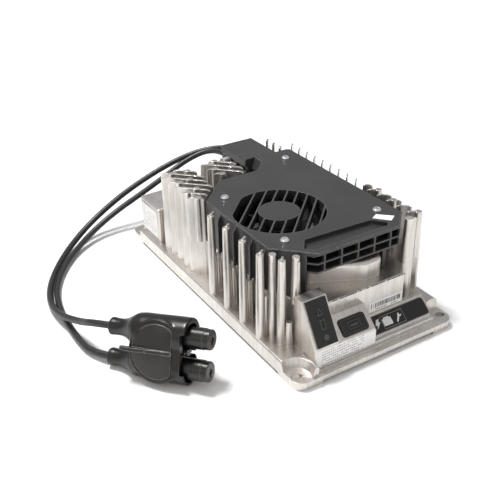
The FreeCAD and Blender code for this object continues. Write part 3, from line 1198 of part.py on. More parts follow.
def lead_tube(points, name):
    """Tube along straight runs joined by tangent arcs. Each arc takes 0.45 of its shorter run."""
    edges = []
    last = points[0]
    radii = []
    for before, here, after in zip(points, points[1:], points[2:]):
        into, out = (here - before), (after - here)
        turn = into.getAngle(out)
        take = 0.45 * min(into.Length, out.Length)
        radii.append(take / math.tan(turn / 2))
        a, b = here - into.normalize() * take, here + out.normalize() * take
        middle = here + ((a + b) * 0.5 - here).normalize() * arc_sag(take, turn)
        edges.append(Part.LineSegment(last, a).toShape())
        edges.append(Part.Arc(a, middle, b).toShape())
        last = b
    edges.append(Part.LineSegment(last, points[-1]).toShape())
    path = Part.Wire(edges)
    start = (points[1] - points[0]).normalize()
    ring = Part.Wire(Part.makeCircle(LEAD_RADIUS, points[0], start))
    tube = path.makePipeShell([ring], True, False)
    expected = math.pi * LEAD_RADIUS ** 2 * path.Length
    print(name, "length", round(path.Length, 1), "volume ratio", round(tube.Volume / expected, 4),
          "radii", [round(r, 1) for r in radii])
    return tube


def arc_sag(take, turn):
    """Distance from a route corner to the middle of its arc."""
    radius = take / math.tan(turn / 2)
    return radius / math.cos(turn / 2) - radius


def leads(matrix):
    half = SLEEVE_SPACING / 2
    forward = V(matrix.A11, matrix.A21, matrix.A31)
    tubes = {}
    for name, x, route, v in (("lead_upper", LEAD_A_X, LEAD_A_ROUTE, half),
                              ("lead_lower", LEAD_B_X, LEAD_B_ROUTE, -half)):
        end = matrix.multVec(V(CORD_BOOT_REAR, v, 0))
        points = [V(x, BOOT_REAR, LEAD_Z)] + [V(*p) for p in route] + [end - forward * BOOT_RUN, end]
        print(name, "end", [round(c, 2) for c in points[-2]], [round(c, 2) for c in end])
        tubes[name] = lead_tube(points, name)
    return tubes


def main():
    save("heat_sink_housing", housing())
    save("bottom_gasket", gasket())
    save("bottom_plate", bottom_plate())
    save("bottom_plate_screws", plate_screws())
    save("fan_shroud", fan_shroud())
    save("shroud_screws", pan_screws(SCREW_PLACES, COVER_TOP, SCREW_HEAD_R, SCREW_HEAD_H, SCREW_SHAFT_R, 12.0))
    save("terminal_cover", terminal_cover())
    save("terminal_block", terminal_block())
    save("terminal_studs", terminal_studs())
    save("lead_boot_upper", lead_boot(LEAD_A_X))
    save("lead_boot_lower", lead_boot(LEAD_B_X))
    save("fan_frame", fan_frame())
    save("fan_bearing", fan_bearing())
    save("fan_stator", fan_stator())
    save("fan_rotor", fan_rotor())
    save("fan_shaft", fan_shaft())
    save("fan_screws", fan_screws())
    save("tall_port_plug", rubber_plug(TALL_PLUG, POST_SLOPE))
    save("square_port_plug", rubber_plug(SQUARE_PLUG, PLATFORM_SLOPE))
    save("service_port", port_block(TALL_PLUG, POST_SLOPE))
    save("signal_port", port_block(SQUARE_PLUG, PLATFORM_SLOPE))
    save("panel_label", panel_label())
    save("front_label", front_label())
    save("code_label", code_label())
    save("small_sticker", small_sticker())
    save("rating_label", rating_label())
    save("mains_inlet", mains_inlet())
    save("mains_pins", Part.makeCompound([inlet_pin(dx, dz) for dx, dz in INLET_PINS]))
    save("inlet_screws", inlet_screws())
    save("main_board", main_board())
    save("board_screws", board_screws())
    save("transformer_core", transformer_core())
    save("transformer_winding", transformer_winding())
    save("boost_inductor", ring_coil(2, -38, 22, 8, 18))
    save("mains_filter_choke", ring_coil(-34, 70, 16, 6, 16))
    save("bulk_capacitors", cylinders_on_board([(-41, -98), (-41, -65), (-41, -32)], 15.0, 38.0))
    save("output_capacitors", cylinders_on_board([(34, 20), (34, 34), (34, 48)], 6.0, 25.0))
    save("power_devices", power_devices())
    save("clamp_bar", clamp_bar())
    save("control_board", on_board(-8, -6.4, 0, 60, 28))
    save("inrush_relay", on_board(4, 20, 62, 82, 16))
    save("fuse_holder", fuse_holder())
    save("fuse_link", fuse_link())
    parts, matrix = connector_parts()
    for name, shape in parts.items():
        save(name, shape)
    for name, shape in leads(matrix).items():
        save(name, shape)


main()
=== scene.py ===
"""Looks for the battery charger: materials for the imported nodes, soft mouldings, labels and leads."""
import math

import bmesh
import bpy
from bpy.props import FloatProperty, FloatVectorProperty, PointerProperty
from mathutils import Matrix, Vector


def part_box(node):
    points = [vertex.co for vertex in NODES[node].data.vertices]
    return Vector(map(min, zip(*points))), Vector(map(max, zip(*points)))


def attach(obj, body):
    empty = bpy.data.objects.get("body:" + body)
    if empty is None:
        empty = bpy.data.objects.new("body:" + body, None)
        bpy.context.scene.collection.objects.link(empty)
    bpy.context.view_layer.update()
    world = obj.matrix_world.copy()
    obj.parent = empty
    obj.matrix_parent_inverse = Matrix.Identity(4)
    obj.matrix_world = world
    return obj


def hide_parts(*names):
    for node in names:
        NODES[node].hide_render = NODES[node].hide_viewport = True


bl_info = {
    "name": "Battery charger",
    "version": (1, 0, 0),
    "blender": (4, 5, 0),
    "location": "View3D > Sidebar > Charger",
    "description": "Builds the looks of a fan-cooled battery charger round its packed solids",
    "category": "Object",
}

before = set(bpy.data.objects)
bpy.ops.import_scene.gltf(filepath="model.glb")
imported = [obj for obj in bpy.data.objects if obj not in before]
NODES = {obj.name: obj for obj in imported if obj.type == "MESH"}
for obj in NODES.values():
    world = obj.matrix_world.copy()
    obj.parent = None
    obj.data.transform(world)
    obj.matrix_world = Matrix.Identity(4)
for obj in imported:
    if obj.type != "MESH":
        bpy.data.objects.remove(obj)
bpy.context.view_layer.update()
MM = 0.001

CHARGER = "charger"

# Colour sockets of a Mix node: the first two are inputs, the last is an output
MIX_LOW, MIX_HIGH, MIX_RESULT = 6, 7, 2

# Control points of the two leads, in millimetres, from the terminal cover to the connector
LEAD_UPPER = [(40, 143, 80), (40, 162, 80), (27.5, 181.5, 76.5), (0, 192, 70.5), (-37.2, 196, 59),
              (-82, 199.5, 39.5), (-126, 194.5, 18.5), (-163, 172.5, 6.5), (-193.3, 137, 3.6),
              (-214, 101, 3.4), (-223, 68, 4.4), (-222, 36.5, 10.6), (-214, 5, 20),
              (-209.18, -17.24, 30.36), (-197.36, -33.27, 32.27)]
LEAD_LOWER = [(27, 143, 80), (27, 161, 80), (15.5, 177.5, 76.5), (-8.5, 182.5, 68), (-36, 182.5, 55),
              (-66, 185, 40), (-98, 188, 25), (-130, 181.5, 12.5), (-162, 160.5, 5.2), (-188.5, 130, 3.5),
              (-206.5, 99, 3.4), (-216, 66, 3.4), (-219, 33, 3.4), (-219.5, 2, 3.8), (-216.93, -25.94, 5.45),
              (-205.12, -41.97, 7.37)]


class ChargerLeadSettings(bpy.types.PropertyGroup):
    """Sizes of the two leads."""
    diameter: FloatProperty(name="Lead diameter", description="Outer diameter of each lead", default=0.0066,
                            min=0.003, max=0.012, unit="LENGTH")
    upper_length: FloatProperty(name="Upper lead", description="Length of the lead to the upper contact",
                                default=0.483, unit="LENGTH")
    lower_length: FloatProperty(name="Lower lead", description="Length of the lead to the lower contact",
                                default=0.4565, unit="LENGTH")


class ChargerFinishSettings(bpy.types.PropertyGroup):
    """Colours of the main finishes."""
    casting: FloatVectorProperty(name="Casting", description="Base colour of the cast housing",
                                 subtype="COLOR", size=3, min=0, max=1, default=(0.70, 0.67, 0.635))
    cover: FloatVectorProperty(name="Cover", description="Base colour of the plastic covers", subtype="COLOR",
                               size=3, min=0, max=1, default=(0.034, 0.033, 0.033))
    rubber: FloatVectorProperty(name="Rubber", description="Base colour of plugs, boots and leads",
                                subtype="COLOR", size=3, min=0, max=1, default=(0.016, 0.016, 0.017))
    edge_radius: FloatProperty(name="Edge radius", description="Rounding that the casting's edges show",
                               default=0.0007, min=0, max=0.003, unit="LENGTH")


class ChargerStageSettings(bpy.types.PropertyGroup):
    """Camera and light."""
    lens: FloatProperty(name="Lens", description="Focal length for a 36 mm sensor", default=55.42,
                        unit="CAMERA")
    key: FloatProperty(name="Key light", description="Power of the large overhead light", default=25.0,
                       unit="POWER")
    fill: FloatProperty(name="Fill light", description="Power of the light at the camera's left", default=2.0,
                        unit="POWER")


# ---- shader groups ------------------------------------------------------------

# Share of its upright frequency that each kind of streak keeps
STREAK_PULL = 0.06
BROAD_PULL = 0.10
BEVEL_SAMPLES = 4


def new_group(name, inputs, outputs):
    """Shader node group with named sockets, with its input and output nodes."""
    tree = bpy.data.node_groups.new(name, "ShaderNodeTree")
    for label, kind, default in inputs:
        socket = tree.interface.new_socket(label, in_out="INPUT", socket_type=kind)
        socket.default_value = default
    for label, kind in outputs:
        tree.interface.new_socket(label, in_out="OUTPUT", socket_type=kind)
    return tree, tree.nodes.new("NodeGroupInput"), tree.nodes.new("NodeGroupOutput")


def add(tree, kind, links=None, **values):
    """New node with attribute values set, and its inputs given as values or as (node, output) pairs."""
    node = tree.nodes.new(kind)
    for key, value in values.items():
        setattr(node, key, value)
    for key, value in (links or {}).items():
        if isinstance(value, tuple) and len(value) == 2 and hasattr(value[0], "outputs"):
            tree.links.new(value[0].outputs[value[1]], node.inputs[key])
        else:
            node.inputs[key].default_value = value
    return node


def surface_grain_group():
    """Blotches, fine grain and upright streaks, narrow and broad, for cast, moulded and rubber surfaces."""
    tree, given, out = new_group(
        "Surface grain",
        [("Blotch Scale", "NodeSocketFloat", 60.0), ("Grain Scale", "NodeSocketFloat", 900.0)],
        [("Blotch", "NodeSocketFloat"), ("Grain", "NodeSocketFloat"), ("Streaks", "NodeSocketFloat"),
         ("Broad", "NodeSocketFloat")])
    where = add(tree, "ShaderNodeTexCoord")
    blotch = add(tree, "ShaderNodeTexNoise", {"Vector": (where, "Object"), "Scale": (given, "Blotch Scale"),
                                              "Detail": 4.0, "Roughness": 0.6})
    grain = add(tree, "ShaderNodeTexNoise", {"Vector": (where, "Object"), "Scale": (given, "Grain Scale"),
                                             "Detail": 2.0, "Roughness": 0.65})
    squeeze = add(tree, "ShaderNodeMapping", {"Vector": (where, "Object"), "Scale": (1.0, 1.0, STREAK_PULL)})
    streaks = add(tree, "ShaderNodeTexNoise", {"Vector": (squeeze, "Vector"), "Scale": 420.0, "Detail": 3.0,
                                               "Roughness": 0.55})
    pull = add(tree, "ShaderNodeMapping", {"Vector": (where, "Object"), "Scale": (1.0, 1.0, BROAD_PULL)})
    broad = add(tree, "ShaderNodeTexNoise", {"Vector": (pull, "Vector"), "Scale": 130.0, "Detail": 2.0,
                                             "Roughness": 0.5})
    for label, noise in (("Blotch", blotch), ("Grain", grain), ("Streaks", streaks), ("Broad", broad)):
        tree.links.new(noise.outputs["Fac"], out.inputs[label])
    return tree


def edge_highlight_group():
    """Mask of convex edges, broken up by noise, where a painted highlight goes."""
    tree, given, out = new_group(
        "Edge highlight",
        [("Width", "NodeSocketFloat", 0.001), ("Breakup", "NodeSocketFloat", 0.5)],
        [("Mask", "NodeSocketFloat")])
    soft = add(tree, "ShaderNodeBevel", {"Radius": (given, "Width")}, samples=BEVEL_SAMPLES)
    flat = add(tree, "ShaderNodeNewGeometry")
    dot = add(tree, "ShaderNodeVectorMath", {0: (soft, "Normal"), 1: (flat, "Normal")},
              operation="DOT_PRODUCT")
    spread = add(tree, "ShaderNodeMapRange", {"Value": (dot, "Value"), "From Min": 0.995, "From Max": 0.92,
                                              "To Min": 0.0, "To Max": 1.0})
    where = add(tree, "ShaderNodeTexCoord")
    noise = add(tree, "ShaderNodeTexNoise", {"Vector": (where, "Object"), "Scale": 260.0, "Detail": 3.0})
    keep = add(tree, "ShaderNodeMapRange", {"Value": (noise, "Fac"), "From Min": 0.35, "From Max": 0.65,
                                            "To Min": (given, "Breakup"), "To Max": 1.0})
    mask = add(tree, "ShaderNodeMath", {0: (spread, "Result"), 1: (keep, "Result")}, operation="MULTIPLY")
    tree.links.new(mask.outputs[0], out.inputs["Mask"])
    return tree


GROUPS = {}


def group(name):
    """Shader group by its short name, built once."""
    builders = {"grain": surface_grain_group, "highlight": edge_highlight_group}
    if name not in GROUPS:
        GROUPS[name] = builders[name]()
    return GROUPS[name]


def place_group(tree, name, values):
    """Shader group placed in a material with its own values."""
    node = tree.nodes.new("ShaderNodeGroup")
    node.node_tree = group(name)
    for key, value in values.items():
        node.inputs[key].default_value = value
    return node


# ---- materials ----------------------------------------------------------------

MATERIALS = {}

# Shade of a streak and of a painted edge highlight against the base colour, where a finish names none of its
# own
STREAK_SHADE = 0.62
HIGHLIGHT_GAIN = 1.5
HIGHLIGHT_WIDTH = 0.0011
COAT_ROUGHNESS = 0.12
# Rubber parts are darker than the leads' jacket by this share of the colour
RUBBER_SHADE = 0.5


def mix_colours(tree, factor, low, high):
    """Colour mix whose factor is a (node, output) pair, and whose colours are RGB or such a pair."""
    mix = tree.nodes.new("ShaderNodeMix")
    mix.data_type = "RGBA"
    tree.links.new(factor[0].outputs[factor[1]], mix.inputs["Factor"])
    for index, value in ((MIX_LOW, low), (MIX_HIGH, high)):
        if isinstance(value, tuple) and len(value) == 2:
            tree.links.new(value[0].outputs[value[1]], mix.inputs[index])
        else:
            mix.inputs[index].default_value = (*value, 1.0)
    return mix


def material(name, colour, dark=0.8, light=1.12, rough=(0.4, 0.5), metal=0.0, blotch=60.0, grain=900.0,
             bump=0.15, bump_size=0.0002, edge=0.0004, highlight=0.0, highlight_colour=None, coat=0.0, streak=0.0,
             streak_colour=None, broad=0.0, broad_colour=None):
    """Moulded, cast or painted finish: blotched colour, fine grain, soft edges and a painted highlight on
    convex edges.
    """
    if name in MATERIALS:
        return MATERIALS[name]
    mat = bpy.data.materials.new(name)
    mat.use_nodes = True
    tree = mat.node_tree
    bsdf = tree.nodes["Principled BSDF"]
    bsdf.inputs["Metallic"].default_value = metal
    if coat:
        bsdf.inputs["Coat Weight"].default_value = coat
        bsdf.inputs["Coat Roughness"].default_value = COAT_ROUGHNESS
    surface = place_group(tree, "grain", {"Blotch Scale": blotch, "Grain Scale": grain})
    low = tuple(c * dark for c in colour)
    high = tuple(min(1.0, c * light) for c in colour)
    spread = add(tree, "ShaderNodeMapRange", {"Value": (surface, "Blotch"), "From Min": 0.3, "From Max": 0.7})
    last = mix_colours(tree, (spread, "Result"), low, high)
    if broad:
        wide = add(tree, "ShaderNodeMapRange", {"Value": (surface, "Broad"), "From Min": 0.42,
                                                "From Max": 0.62, "To Min": 0.0, "To Max": broad})
        last = mix_colours(tree, (wide, "Result"), (last, MIX_RESULT), broad_colour)
    if streak:
        band = add(tree, "ShaderNodeMapRange", {"Value": (surface, "Streaks"), "From Min": 0.48,
                                                "From Max": 0.78, "To Min": 0.0, "To Max": streak})
        last = mix_colours(tree, (band, "Result"), (last, MIX_RESULT),
                           streak_colour or tuple(c * STREAK_SHADE for c in colour))
    # Painted highlight: convex edges take a lighter colour.
    if highlight:
        mask = place_group(tree, "highlight", {"Width": HIGHLIGHT_WIDTH, "Breakup": 1 - highlight})
        highlight_tint = highlight_colour or tuple(min(1.0, c * HIGHLIGHT_GAIN) for c in colour)
        last = mix_colours(tree, (mask, "Mask"), (last, MIX_RESULT), highlight_tint)
    tree.links.new(last.outputs[MIX_RESULT], bsdf.inputs["Base Color"])
    gloss = add(tree, "ShaderNodeMapRange", {"Value": (surface, "Grain"), "From Min": 0.25, "From Max": 0.75,
                                             "To Min": rough[0], "To Max": rough[1]})
    tree.links.new(gloss.outputs["Result"], bsdf.inputs["Roughness"])
    soft = add(tree, "ShaderNodeBevel", {"Radius": edge}, samples=BEVEL_SAMPLES)
    relief = add(tree, "ShaderNodeBump", {"Strength": bump, "Distance": bump_size,
                                          "Height": (surface, "Grain"), "Normal": (soft, "Normal")})
    tree.links.new(relief.outputs["Normal"], bsdf.inputs["Normal"])
    MATERIALS[name] = mat
    return mat


def dress(node, mat):
    """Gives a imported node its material."""
    mesh = NODES[node].data
    mesh.materials.clear()
    mesh.materials.append(mat)


def cast_metal():
    """Bright cast aluminium with upright streaks and a painted highlight on its edges."""
    s = bpy.context.scene.charger_finish
    # Painted highlight: the edges turn near-white.
    return material("cast_aluminium", tuple(s.casting), dark=0.86, light=1.10, rough=(0.26, 0.40), metal=0.94,
                    blotch=34.0, grain=900.0, bump=0.07, bump_size=0.00020, edge=s.edge_radius, highlight=0.8,
                    highlight_colour=(0.97, 0.96, 0.94), streak=0.48, streak_colour=(0.36, 0.33, 0.31),
                    broad=0.40, broad_colour=(0.68, 0.63, 0.58))


def cover_plastic():
    """Satin black plastic of the shroud and the terminal cover, with a painted highlight of lighter grey on
    its edges.
    """
    s = bpy.context.scene.charger_finish
    # Painted highlight: the edges take a lighter grey.
    return material("cover_plastic", tuple(s.cover), dark=0.85, light=1.15, rough=(0.33, 0.44), blotch=25.0,
                    grain=2600.0, bump=0.35, bump_size=0.00008, edge=0.0005, highlight=0.7,
                    highlight_colour=(0.17, 0.165, 0.16))


def rubber():
    """Dull black rubber of the plugs, boots and gasket."""
    s = bpy.context.scene.charger_finish
    return material("plug_rubber", tuple(c * RUBBER_SHADE for c in s.rubber), rough=(0.5, 0.62), blotch=70.0,
                    grain=2200.0, bump=0.3, bump_size=0.0001, edge=0.0005)


def plated():
    """Plated metal of the contact sockets."""
    return material("contact_metal", (0.80, 0.78, 0.74), rough=(0.16, 0.28), metal=1.0, grain=1500.0,
                    bump=0.1, bump_size=0.00005)


def zinc():
    """Zinc-plated steel of the screws and the fan shaft, with a painted highlight on their edges."""
    return material("zinc_steel", (0.86, 0.86, 0.86), rough=(0.26, 0.38), metal=1.0, grain=1800.0,
                    # Painted highlight: the edges turn white.
                    bump=0.15, bump_size=0.0001, edge=0.0002, highlight=0.3)


# ---- meshes -------------------------------------------------------------------

def object_from(name, mesh, mat):
    """Object on the charger body from a finished mesh."""
    obj = bpy.data.objects.new(name, mesh)
    bpy.context.scene.collection.objects.link(obj)
    mesh.materials.clear()
    mesh.materials.append(mat)
    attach(obj, CHARGER)
    return obj


def applied(obj):
    """Plain mesh of an object with its modifiers applied."""
    bpy.context.view_layer.update()
    graph = bpy.context.evaluated_depsgraph_get()
    mesh = bpy.data.meshes.new_from_object(obj.evaluated_get(graph))
    obj.modifiers.clear()
    return mesh


# Thickness of printed ink, in metres
PRINT_DEPTH = 0.0001


def tick_group():
    """Rows of small blocks: Columns x Rows over Size, each Tick wide, uneven by Vary, some left out."""
    tree = bpy.data.node_groups.new("tick_rows", "GeometryNodeTree")
    for name, kind, value in (("Columns", "NodeSocketInt", 20), ("Rows", "NodeSocketInt", 3),
                              ("Size X", "NodeSocketFloat", 0.04), ("Size Y", "NodeSocketFloat", 0.01),
                              ("Tick X", "NodeSocketFloat", 0.001), ("Tick Y", "NodeSocketFloat", 0.001),
                              ("Depth", "NodeSocketFloat", PRINT_DEPTH), ("Vary", "NodeSocketFloat", 0.3),
                              ("Keep", "NodeSocketFloat", 1.0), ("Seed", "NodeSocketInt", 1),
                              ("Material", "NodeSocketMaterial", None)):
        socket = tree.interface.new_socket(name, in_out="INPUT", socket_type=kind)
        if value is not None:
            socket.default_value = value
    tree.interface.new_socket("Geometry", in_out="OUTPUT", socket_type="NodeSocketGeometry")
    into, out = tree.nodes.new("NodeGroupInput"), tree.nodes.new("NodeGroupOutput")
    grid = tree.nodes.new("GeometryNodeMeshGrid")
    block = tree.nodes.new("GeometryNodeMeshCube")
    low, high = tree.nodes.new("ShaderNodeMath"), tree.nodes.new("ShaderNodeMath")
    low.operation, high.operation = "SUBTRACT", "ADD"
    low.inputs[0].default_value = high.inputs[0].default_value = 1.0
    spread = tree.nodes.new("FunctionNodeRandomValue")
    chosen = tree.nodes.new("FunctionNodeRandomValue")
    chosen.data_type = "BOOLEAN"
    width = tree.nodes.new("ShaderNodeMath")
    width.operation = "MULTIPLY"
    scale = tree.nodes.new("ShaderNodeCombineXYZ")
    place = tree.nodes.new("GeometryNodeInstanceOnPoints")
    real = tree.nodes.new("GeometryNodeRealizeInstances")
    paint = tree.nodes.new("GeometryNodeSetMaterial")
    probability = next(i for i in chosen.inputs if i.name == "Probability")
    least = next(i for i in spread.inputs if i.name == "Min" and i.type == "VALUE")
    most = next(i for i in spread.inputs if i.name == "Max" and i.type == "VALUE")
    amount = next(o for o in spread.outputs if o.type == "VALUE")
    picked = next(o for o in chosen.outputs if o.type == "BOOLEAN")
    for source, target in ((into.outputs["Columns"], grid.inputs["Vertices X"]),
                           (into.outputs["Rows"], grid.inputs["Vertices Y"]),
                           (into.outputs["Size X"], grid.inputs["Size X"]),
                           (into.outputs["Size Y"], grid.inputs["Size Y"]),
                           (into.outputs["Vary"], low.inputs[1]), (into.outputs["Vary"], high.inputs[1]),
                           (low.outputs[0], least), (high.outputs[0], most),
                           (into.outputs["Seed"], spread.inputs["Seed"]),
                           (into.outputs["Seed"], chosen.inputs["Seed"]), (into.outputs["Keep"], probability),
                           (into.outputs["Tick X"], width.inputs[0]), (amount, width.inputs[1]),
                           (width.outputs[0], scale.inputs["X"]), (into.outputs["Tick Y"], scale.inputs["Y"]),
                           (into.outputs["Depth"], scale.inputs["Z"]),
                           (grid.outputs["Mesh"], place.inputs["Points"]),
                           (picked, place.inputs["Selection"]),
                           (block.outputs["Mesh"], place.inputs["Instance"]),
                           (scale.outputs["Vector"], place.inputs["Scale"]),
                           (place.outputs["Instances"], real.inputs["Geometry"]),
                           (real.outputs["Geometry"], paint.inputs["Geometry"]),
                           (into.outputs["Material"], paint.inputs["Material"]),
                           (paint.outputs["Geometry"], out.inputs["Geometry"])):
        tree.links.new(source, target)
    return tree


def tick_rows(name, mat, where, columns, rows, field, tick, vary, keep, seed, depth=PRINT_DEPTH):
    """Object with rows of ticks on the plane of the matrix where; field and tick are width and height."""
    tree = bpy.data.node_groups.get("tick_rows") or tick_group()
    obj = bpy.data.objects.new("work_" + name, bpy.data.meshes.new("work_" + name))
    bpy.context.scene.collection.objects.link(obj)
    modifier = obj.modifiers.new("Ticks", "NODES")
    modifier.node_group = tree
    values = {"Columns": columns, "Rows": rows, "Size X": field[0], "Size Y": field[1], "Tick X": tick[0],
              "Tick Y": tick[1], "Depth": depth, "Vary": vary, "Keep": keep, "Seed": seed, "Material": mat}
    for item in tree.interface.items_tree:
        if item.in_out == "INPUT":
            modifier[item.identifier] = values[item.name]
    mesh = applied(obj)
    bpy.data.objects.remove(obj)
    mesh.transform(where)
    return object_from(name, mesh, mat)


def plane(origin, along, up):
    """Matrix whose X runs along, Y runs up and Z comes out of the face, from millimetres."""
    x = Vector(along).normalized()
    y = Vector(up).normalized()
    z = x.cross(y)
    o = Vector(origin) * MM
    return Matrix(((x.x, y.x, z.x, o.x), (x.y, y.y, z.y, o.y), (x.z, y.z, z.z, o.z), (0, 0, 0, 1)))


def raised(name, mat, where, outlines, height):
    """Raised marks: each outline is a closed list of points in millimetres on the plane."""
    bm = bmesh.new()
    for outline in outlines:
        low = [bm.verts.new((x * MM, y * MM, 0.0)) for x, y in outline]
        high = [bm.verts.new((x * MM, y * MM, height * MM)) for x, y in outline]
        bm.faces.new(high)
        bm.faces.new(low[::-1])
        for k in range(len(low)):
            bm.faces.new((low[k - 1], low[k], high[k], high[k - 1]))
    bmesh.ops.recalc_face_normals(bm, faces=bm.faces)
    mesh = bpy.data.meshes.new(name)
    bm.to_mesh(mesh)
    bm.free()
    mesh.transform(where)
    return object_from(name, mesh, mat)


def rectangle(left, low, right, high):
    """Corners of an upright rectangle, counterclockwise."""
    return [(left, low), (right, low), (right, high), (left, high)]


def ring_marks(x, y, w, h, line):
    """Four strips that outline a rectangle with half sizes w and h about its middle."""
    left, right, low, high = x - w, x + w, y - h, y + h
    return [rectangle(left, low, right, low + line), rectangle(left, high - line, right, high),
            rectangle(left, low + line, left + line, high - line),
            rectangle(right - line, low + line, right, high - line)]


def disc(x, y, radius, sides=28):
    """Points round a circle."""
    return [(x + radius * math.cos(2 * math.pi * k / sides), y + radius * math.sin(2 * math.pi * k / sides))
            for k in range(sides)]


# ---- connector moulding --------------------------------------------------------

# In millimetres, with u along the connector, v across it and w out of its flat face
# Where the connector lies, and its yaw, pitch and roll in degrees
CONNECTOR_AT = (-169.70, -80.40, 24.94)
CONNECTOR_TURN = (-53.6, 5.5, -24.5)
# Distance of each tube from the middle line, and stations and radii along a tube
TUBE_AXIS = 13.75
TUBE_PROFILE = [(-53.4, 7.8), (-52.6, 8.1), (-50.0, 8.0), (-47.0, 7.7), (-42.0, 7.7), (-37.5, 8.4),
                (-33.0, 10.0), (-29.0, 12.0), (-25.0, 13.4), (-19.0, 14.1), (-10.0, 14.2), (0.0, 14.4),
                (12.0, 14.7), (25.3, 14.8), (26.0, 14.4)]
# The upper tube is thicker by UPPER_GROWTH, which it gains over GROWTH_LENGTH from GROWTH_START
UPPER_GROWTH = 2.0
GROWTH_START = -40.0
GROWTH_LENGTH = 14.0
BORE_PROFILE = [(0.2, 8.0), (8.0, 8.0), (8.0, 12.4), (28.0, 12.4)]
# Discs with one flat side: radius, distance of the flat side, corner radius, bottom and top
COLLAR = (27.6, 22.0, 8.0, 0.0, 14.4)
PLATE = (24.0, 14.5, 6.0, 12.0, 15.4)
POCKET = (24.25, 14.75, 6.2, 12.0, 18.0)
CORNER_STEPS = 10
# Blocks, each by two opposite corners
WEB = ((-26, -TUBE_AXIS, -9), (14, TUBE_AXIS, 12))
CUT_BETWEEN = ((8, -TUBE_AXIS, -9.7), (28, TUBE_AXIS, 9.7))
CUT_FRONT = ((22.4, -17.8, 0.0), (28, 17.8, 18.0))
RIB = ((5.0, -1.0, -7.0), (23.0, 1.0, 7.0))
RIB_HEAD = ((19.0, -2.6, -3.0), (24.0, 2.6, 3.0))
# Side view of the finger bar, u and w, and half its width
FINGER_BAR = [(-23.0, 15.0), (-34.0, 15.4), (-34.4, 17.2), (-33.6, 19.6), (-31.0, 20.8), (-22.0, 20.6),
              (-14.0, 19.6), (-13.0, 18.4), (-10.0, 18.2), (-9.0, 19.0), (2.0, 17.4), (14.0, 16.2),
              (14.0, 15.0)]
BAR_HALF = 1.7
# In metres: grain of the remesh, lowest point over the floor and eased edge of the grip plate
VOXEL = 0.0007
REST_HEIGHT = 0.00015
EASED_EDGE = 0.0005
RELAX_PASSES = 9
# Angles in radians past which an edge stays sharp
MOULDING_SHARP = 0.7
GRIP_SHARP = 0.6


def connector_frame():
    """Matrix that lays the connector on the floor."""
    yaw, pitch, roll = (math.radians(a) for a in CONNECTOR_TURN)
    u = Vector((math.cos(pitch) * math.cos(yaw), math.cos(pitch) * math.sin(yaw), math.sin(pitch)))
    level = u.cross(Vector((0, 0, 1))).normalized()
    rise = level.cross(u)
    v = rise * math.cos(roll) + level * math.sin(roll)
    return plane(CONNECTOR_AT, u, v)


def revolved(bm, profile, across, sides=56):
    """Closed solid of revolution about the line along u at v = across."""
    rings = []
    for u, r in profile:
        rings.append([bm.verts.new((u * MM, (across + r * math.cos(2 * math.pi * k / sides)) * MM,
                                    r * math.sin(2 * math.pi * k / sides) * MM)) for k in range(sides)])
    for one, two in zip(rings, rings[1:]):
        for k in range(sides):
            bm.faces.new((one[k - 1], one[k], two[k], two[k - 1]))
    bm.faces.new(rings[0])
    bm.faces.new(rings[-1][::-1])


def d_block(bm, radius, flat, corner, low, high, sides=60):
    """Disc with one flat side and rounded corners, between two heights of w."""
    inner = radius - corner
    reach = flat - corner
    edge = math.sqrt(inner * inner - reach * reach)
    turn = math.atan2(edge, reach)
    points = [(reach + corner * math.cos(a), edge + corner * math.sin(a))
              for a in (turn * k / CORNER_STEPS for k in range(CORNER_STEPS + 1))]
    points += [(radius * math.cos(a), radius * math.sin(a))
               for a in (turn + (2 * math.pi - 2 * turn) * k / sides for k in range(1, sides))]
    points += [(reach + corner * math.cos(a), -edge + corner * math.sin(a))
               for a in (-turn + turn * k / CORNER_STEPS for k in range(CORNER_STEPS + 1))]
    prism_between(bm, points, low, high)


def prism_between(bm, points, low, high):
    """Outline in u and v drawn out from one height of w to another."""
    rings = [[bm.verts.new((u * MM, v * MM, w * MM)) for u, v in points] for w in (low, high)]
    for k in range(len(points)):
        bm.faces.new((rings[0][k - 1], rings[0][k], rings[1][k], rings[1][k - 1]))
    bm.faces.new(rings[0])
    bm.faces.new(rings[1][::-1])


def block(bm, low, high):
    """Block between two opposite corners."""
    size = [(b - a) * MM for a, b in zip(low, high)]
    middle = [(a + b) / 2 * MM for a, b in zip(low, high)]
    place = Matrix.Translation(middle) @ Matrix.Diagonal((*size, 1.0))
    bmesh.ops.create_cube(bm, size=1.0, matrix=place)


def work_object(name, build):
    """Object in the scene whose mesh is what build adds to an empty one."""
    bm = bmesh.new()
    build(bm)
    bmesh.ops.recalc_face_normals(bm, faces=bm.faces)
    mesh = bpy.data.meshes.new(name)
    bm.to_mesh(mesh)
    bm.free()
    obj = bpy.data.objects.new(name, mesh)
    bpy.context.scene.collection.objects.link(obj)
    return obj


def smooth_shaded(mesh, sharp):
    """Shades a mesh smooth but for edges sharper than an angle."""
    for polygon in mesh.polygons:
        polygon.use_smooth = True
    mesh.set_sharp_from_angle(angle=sharp)
    return mesh


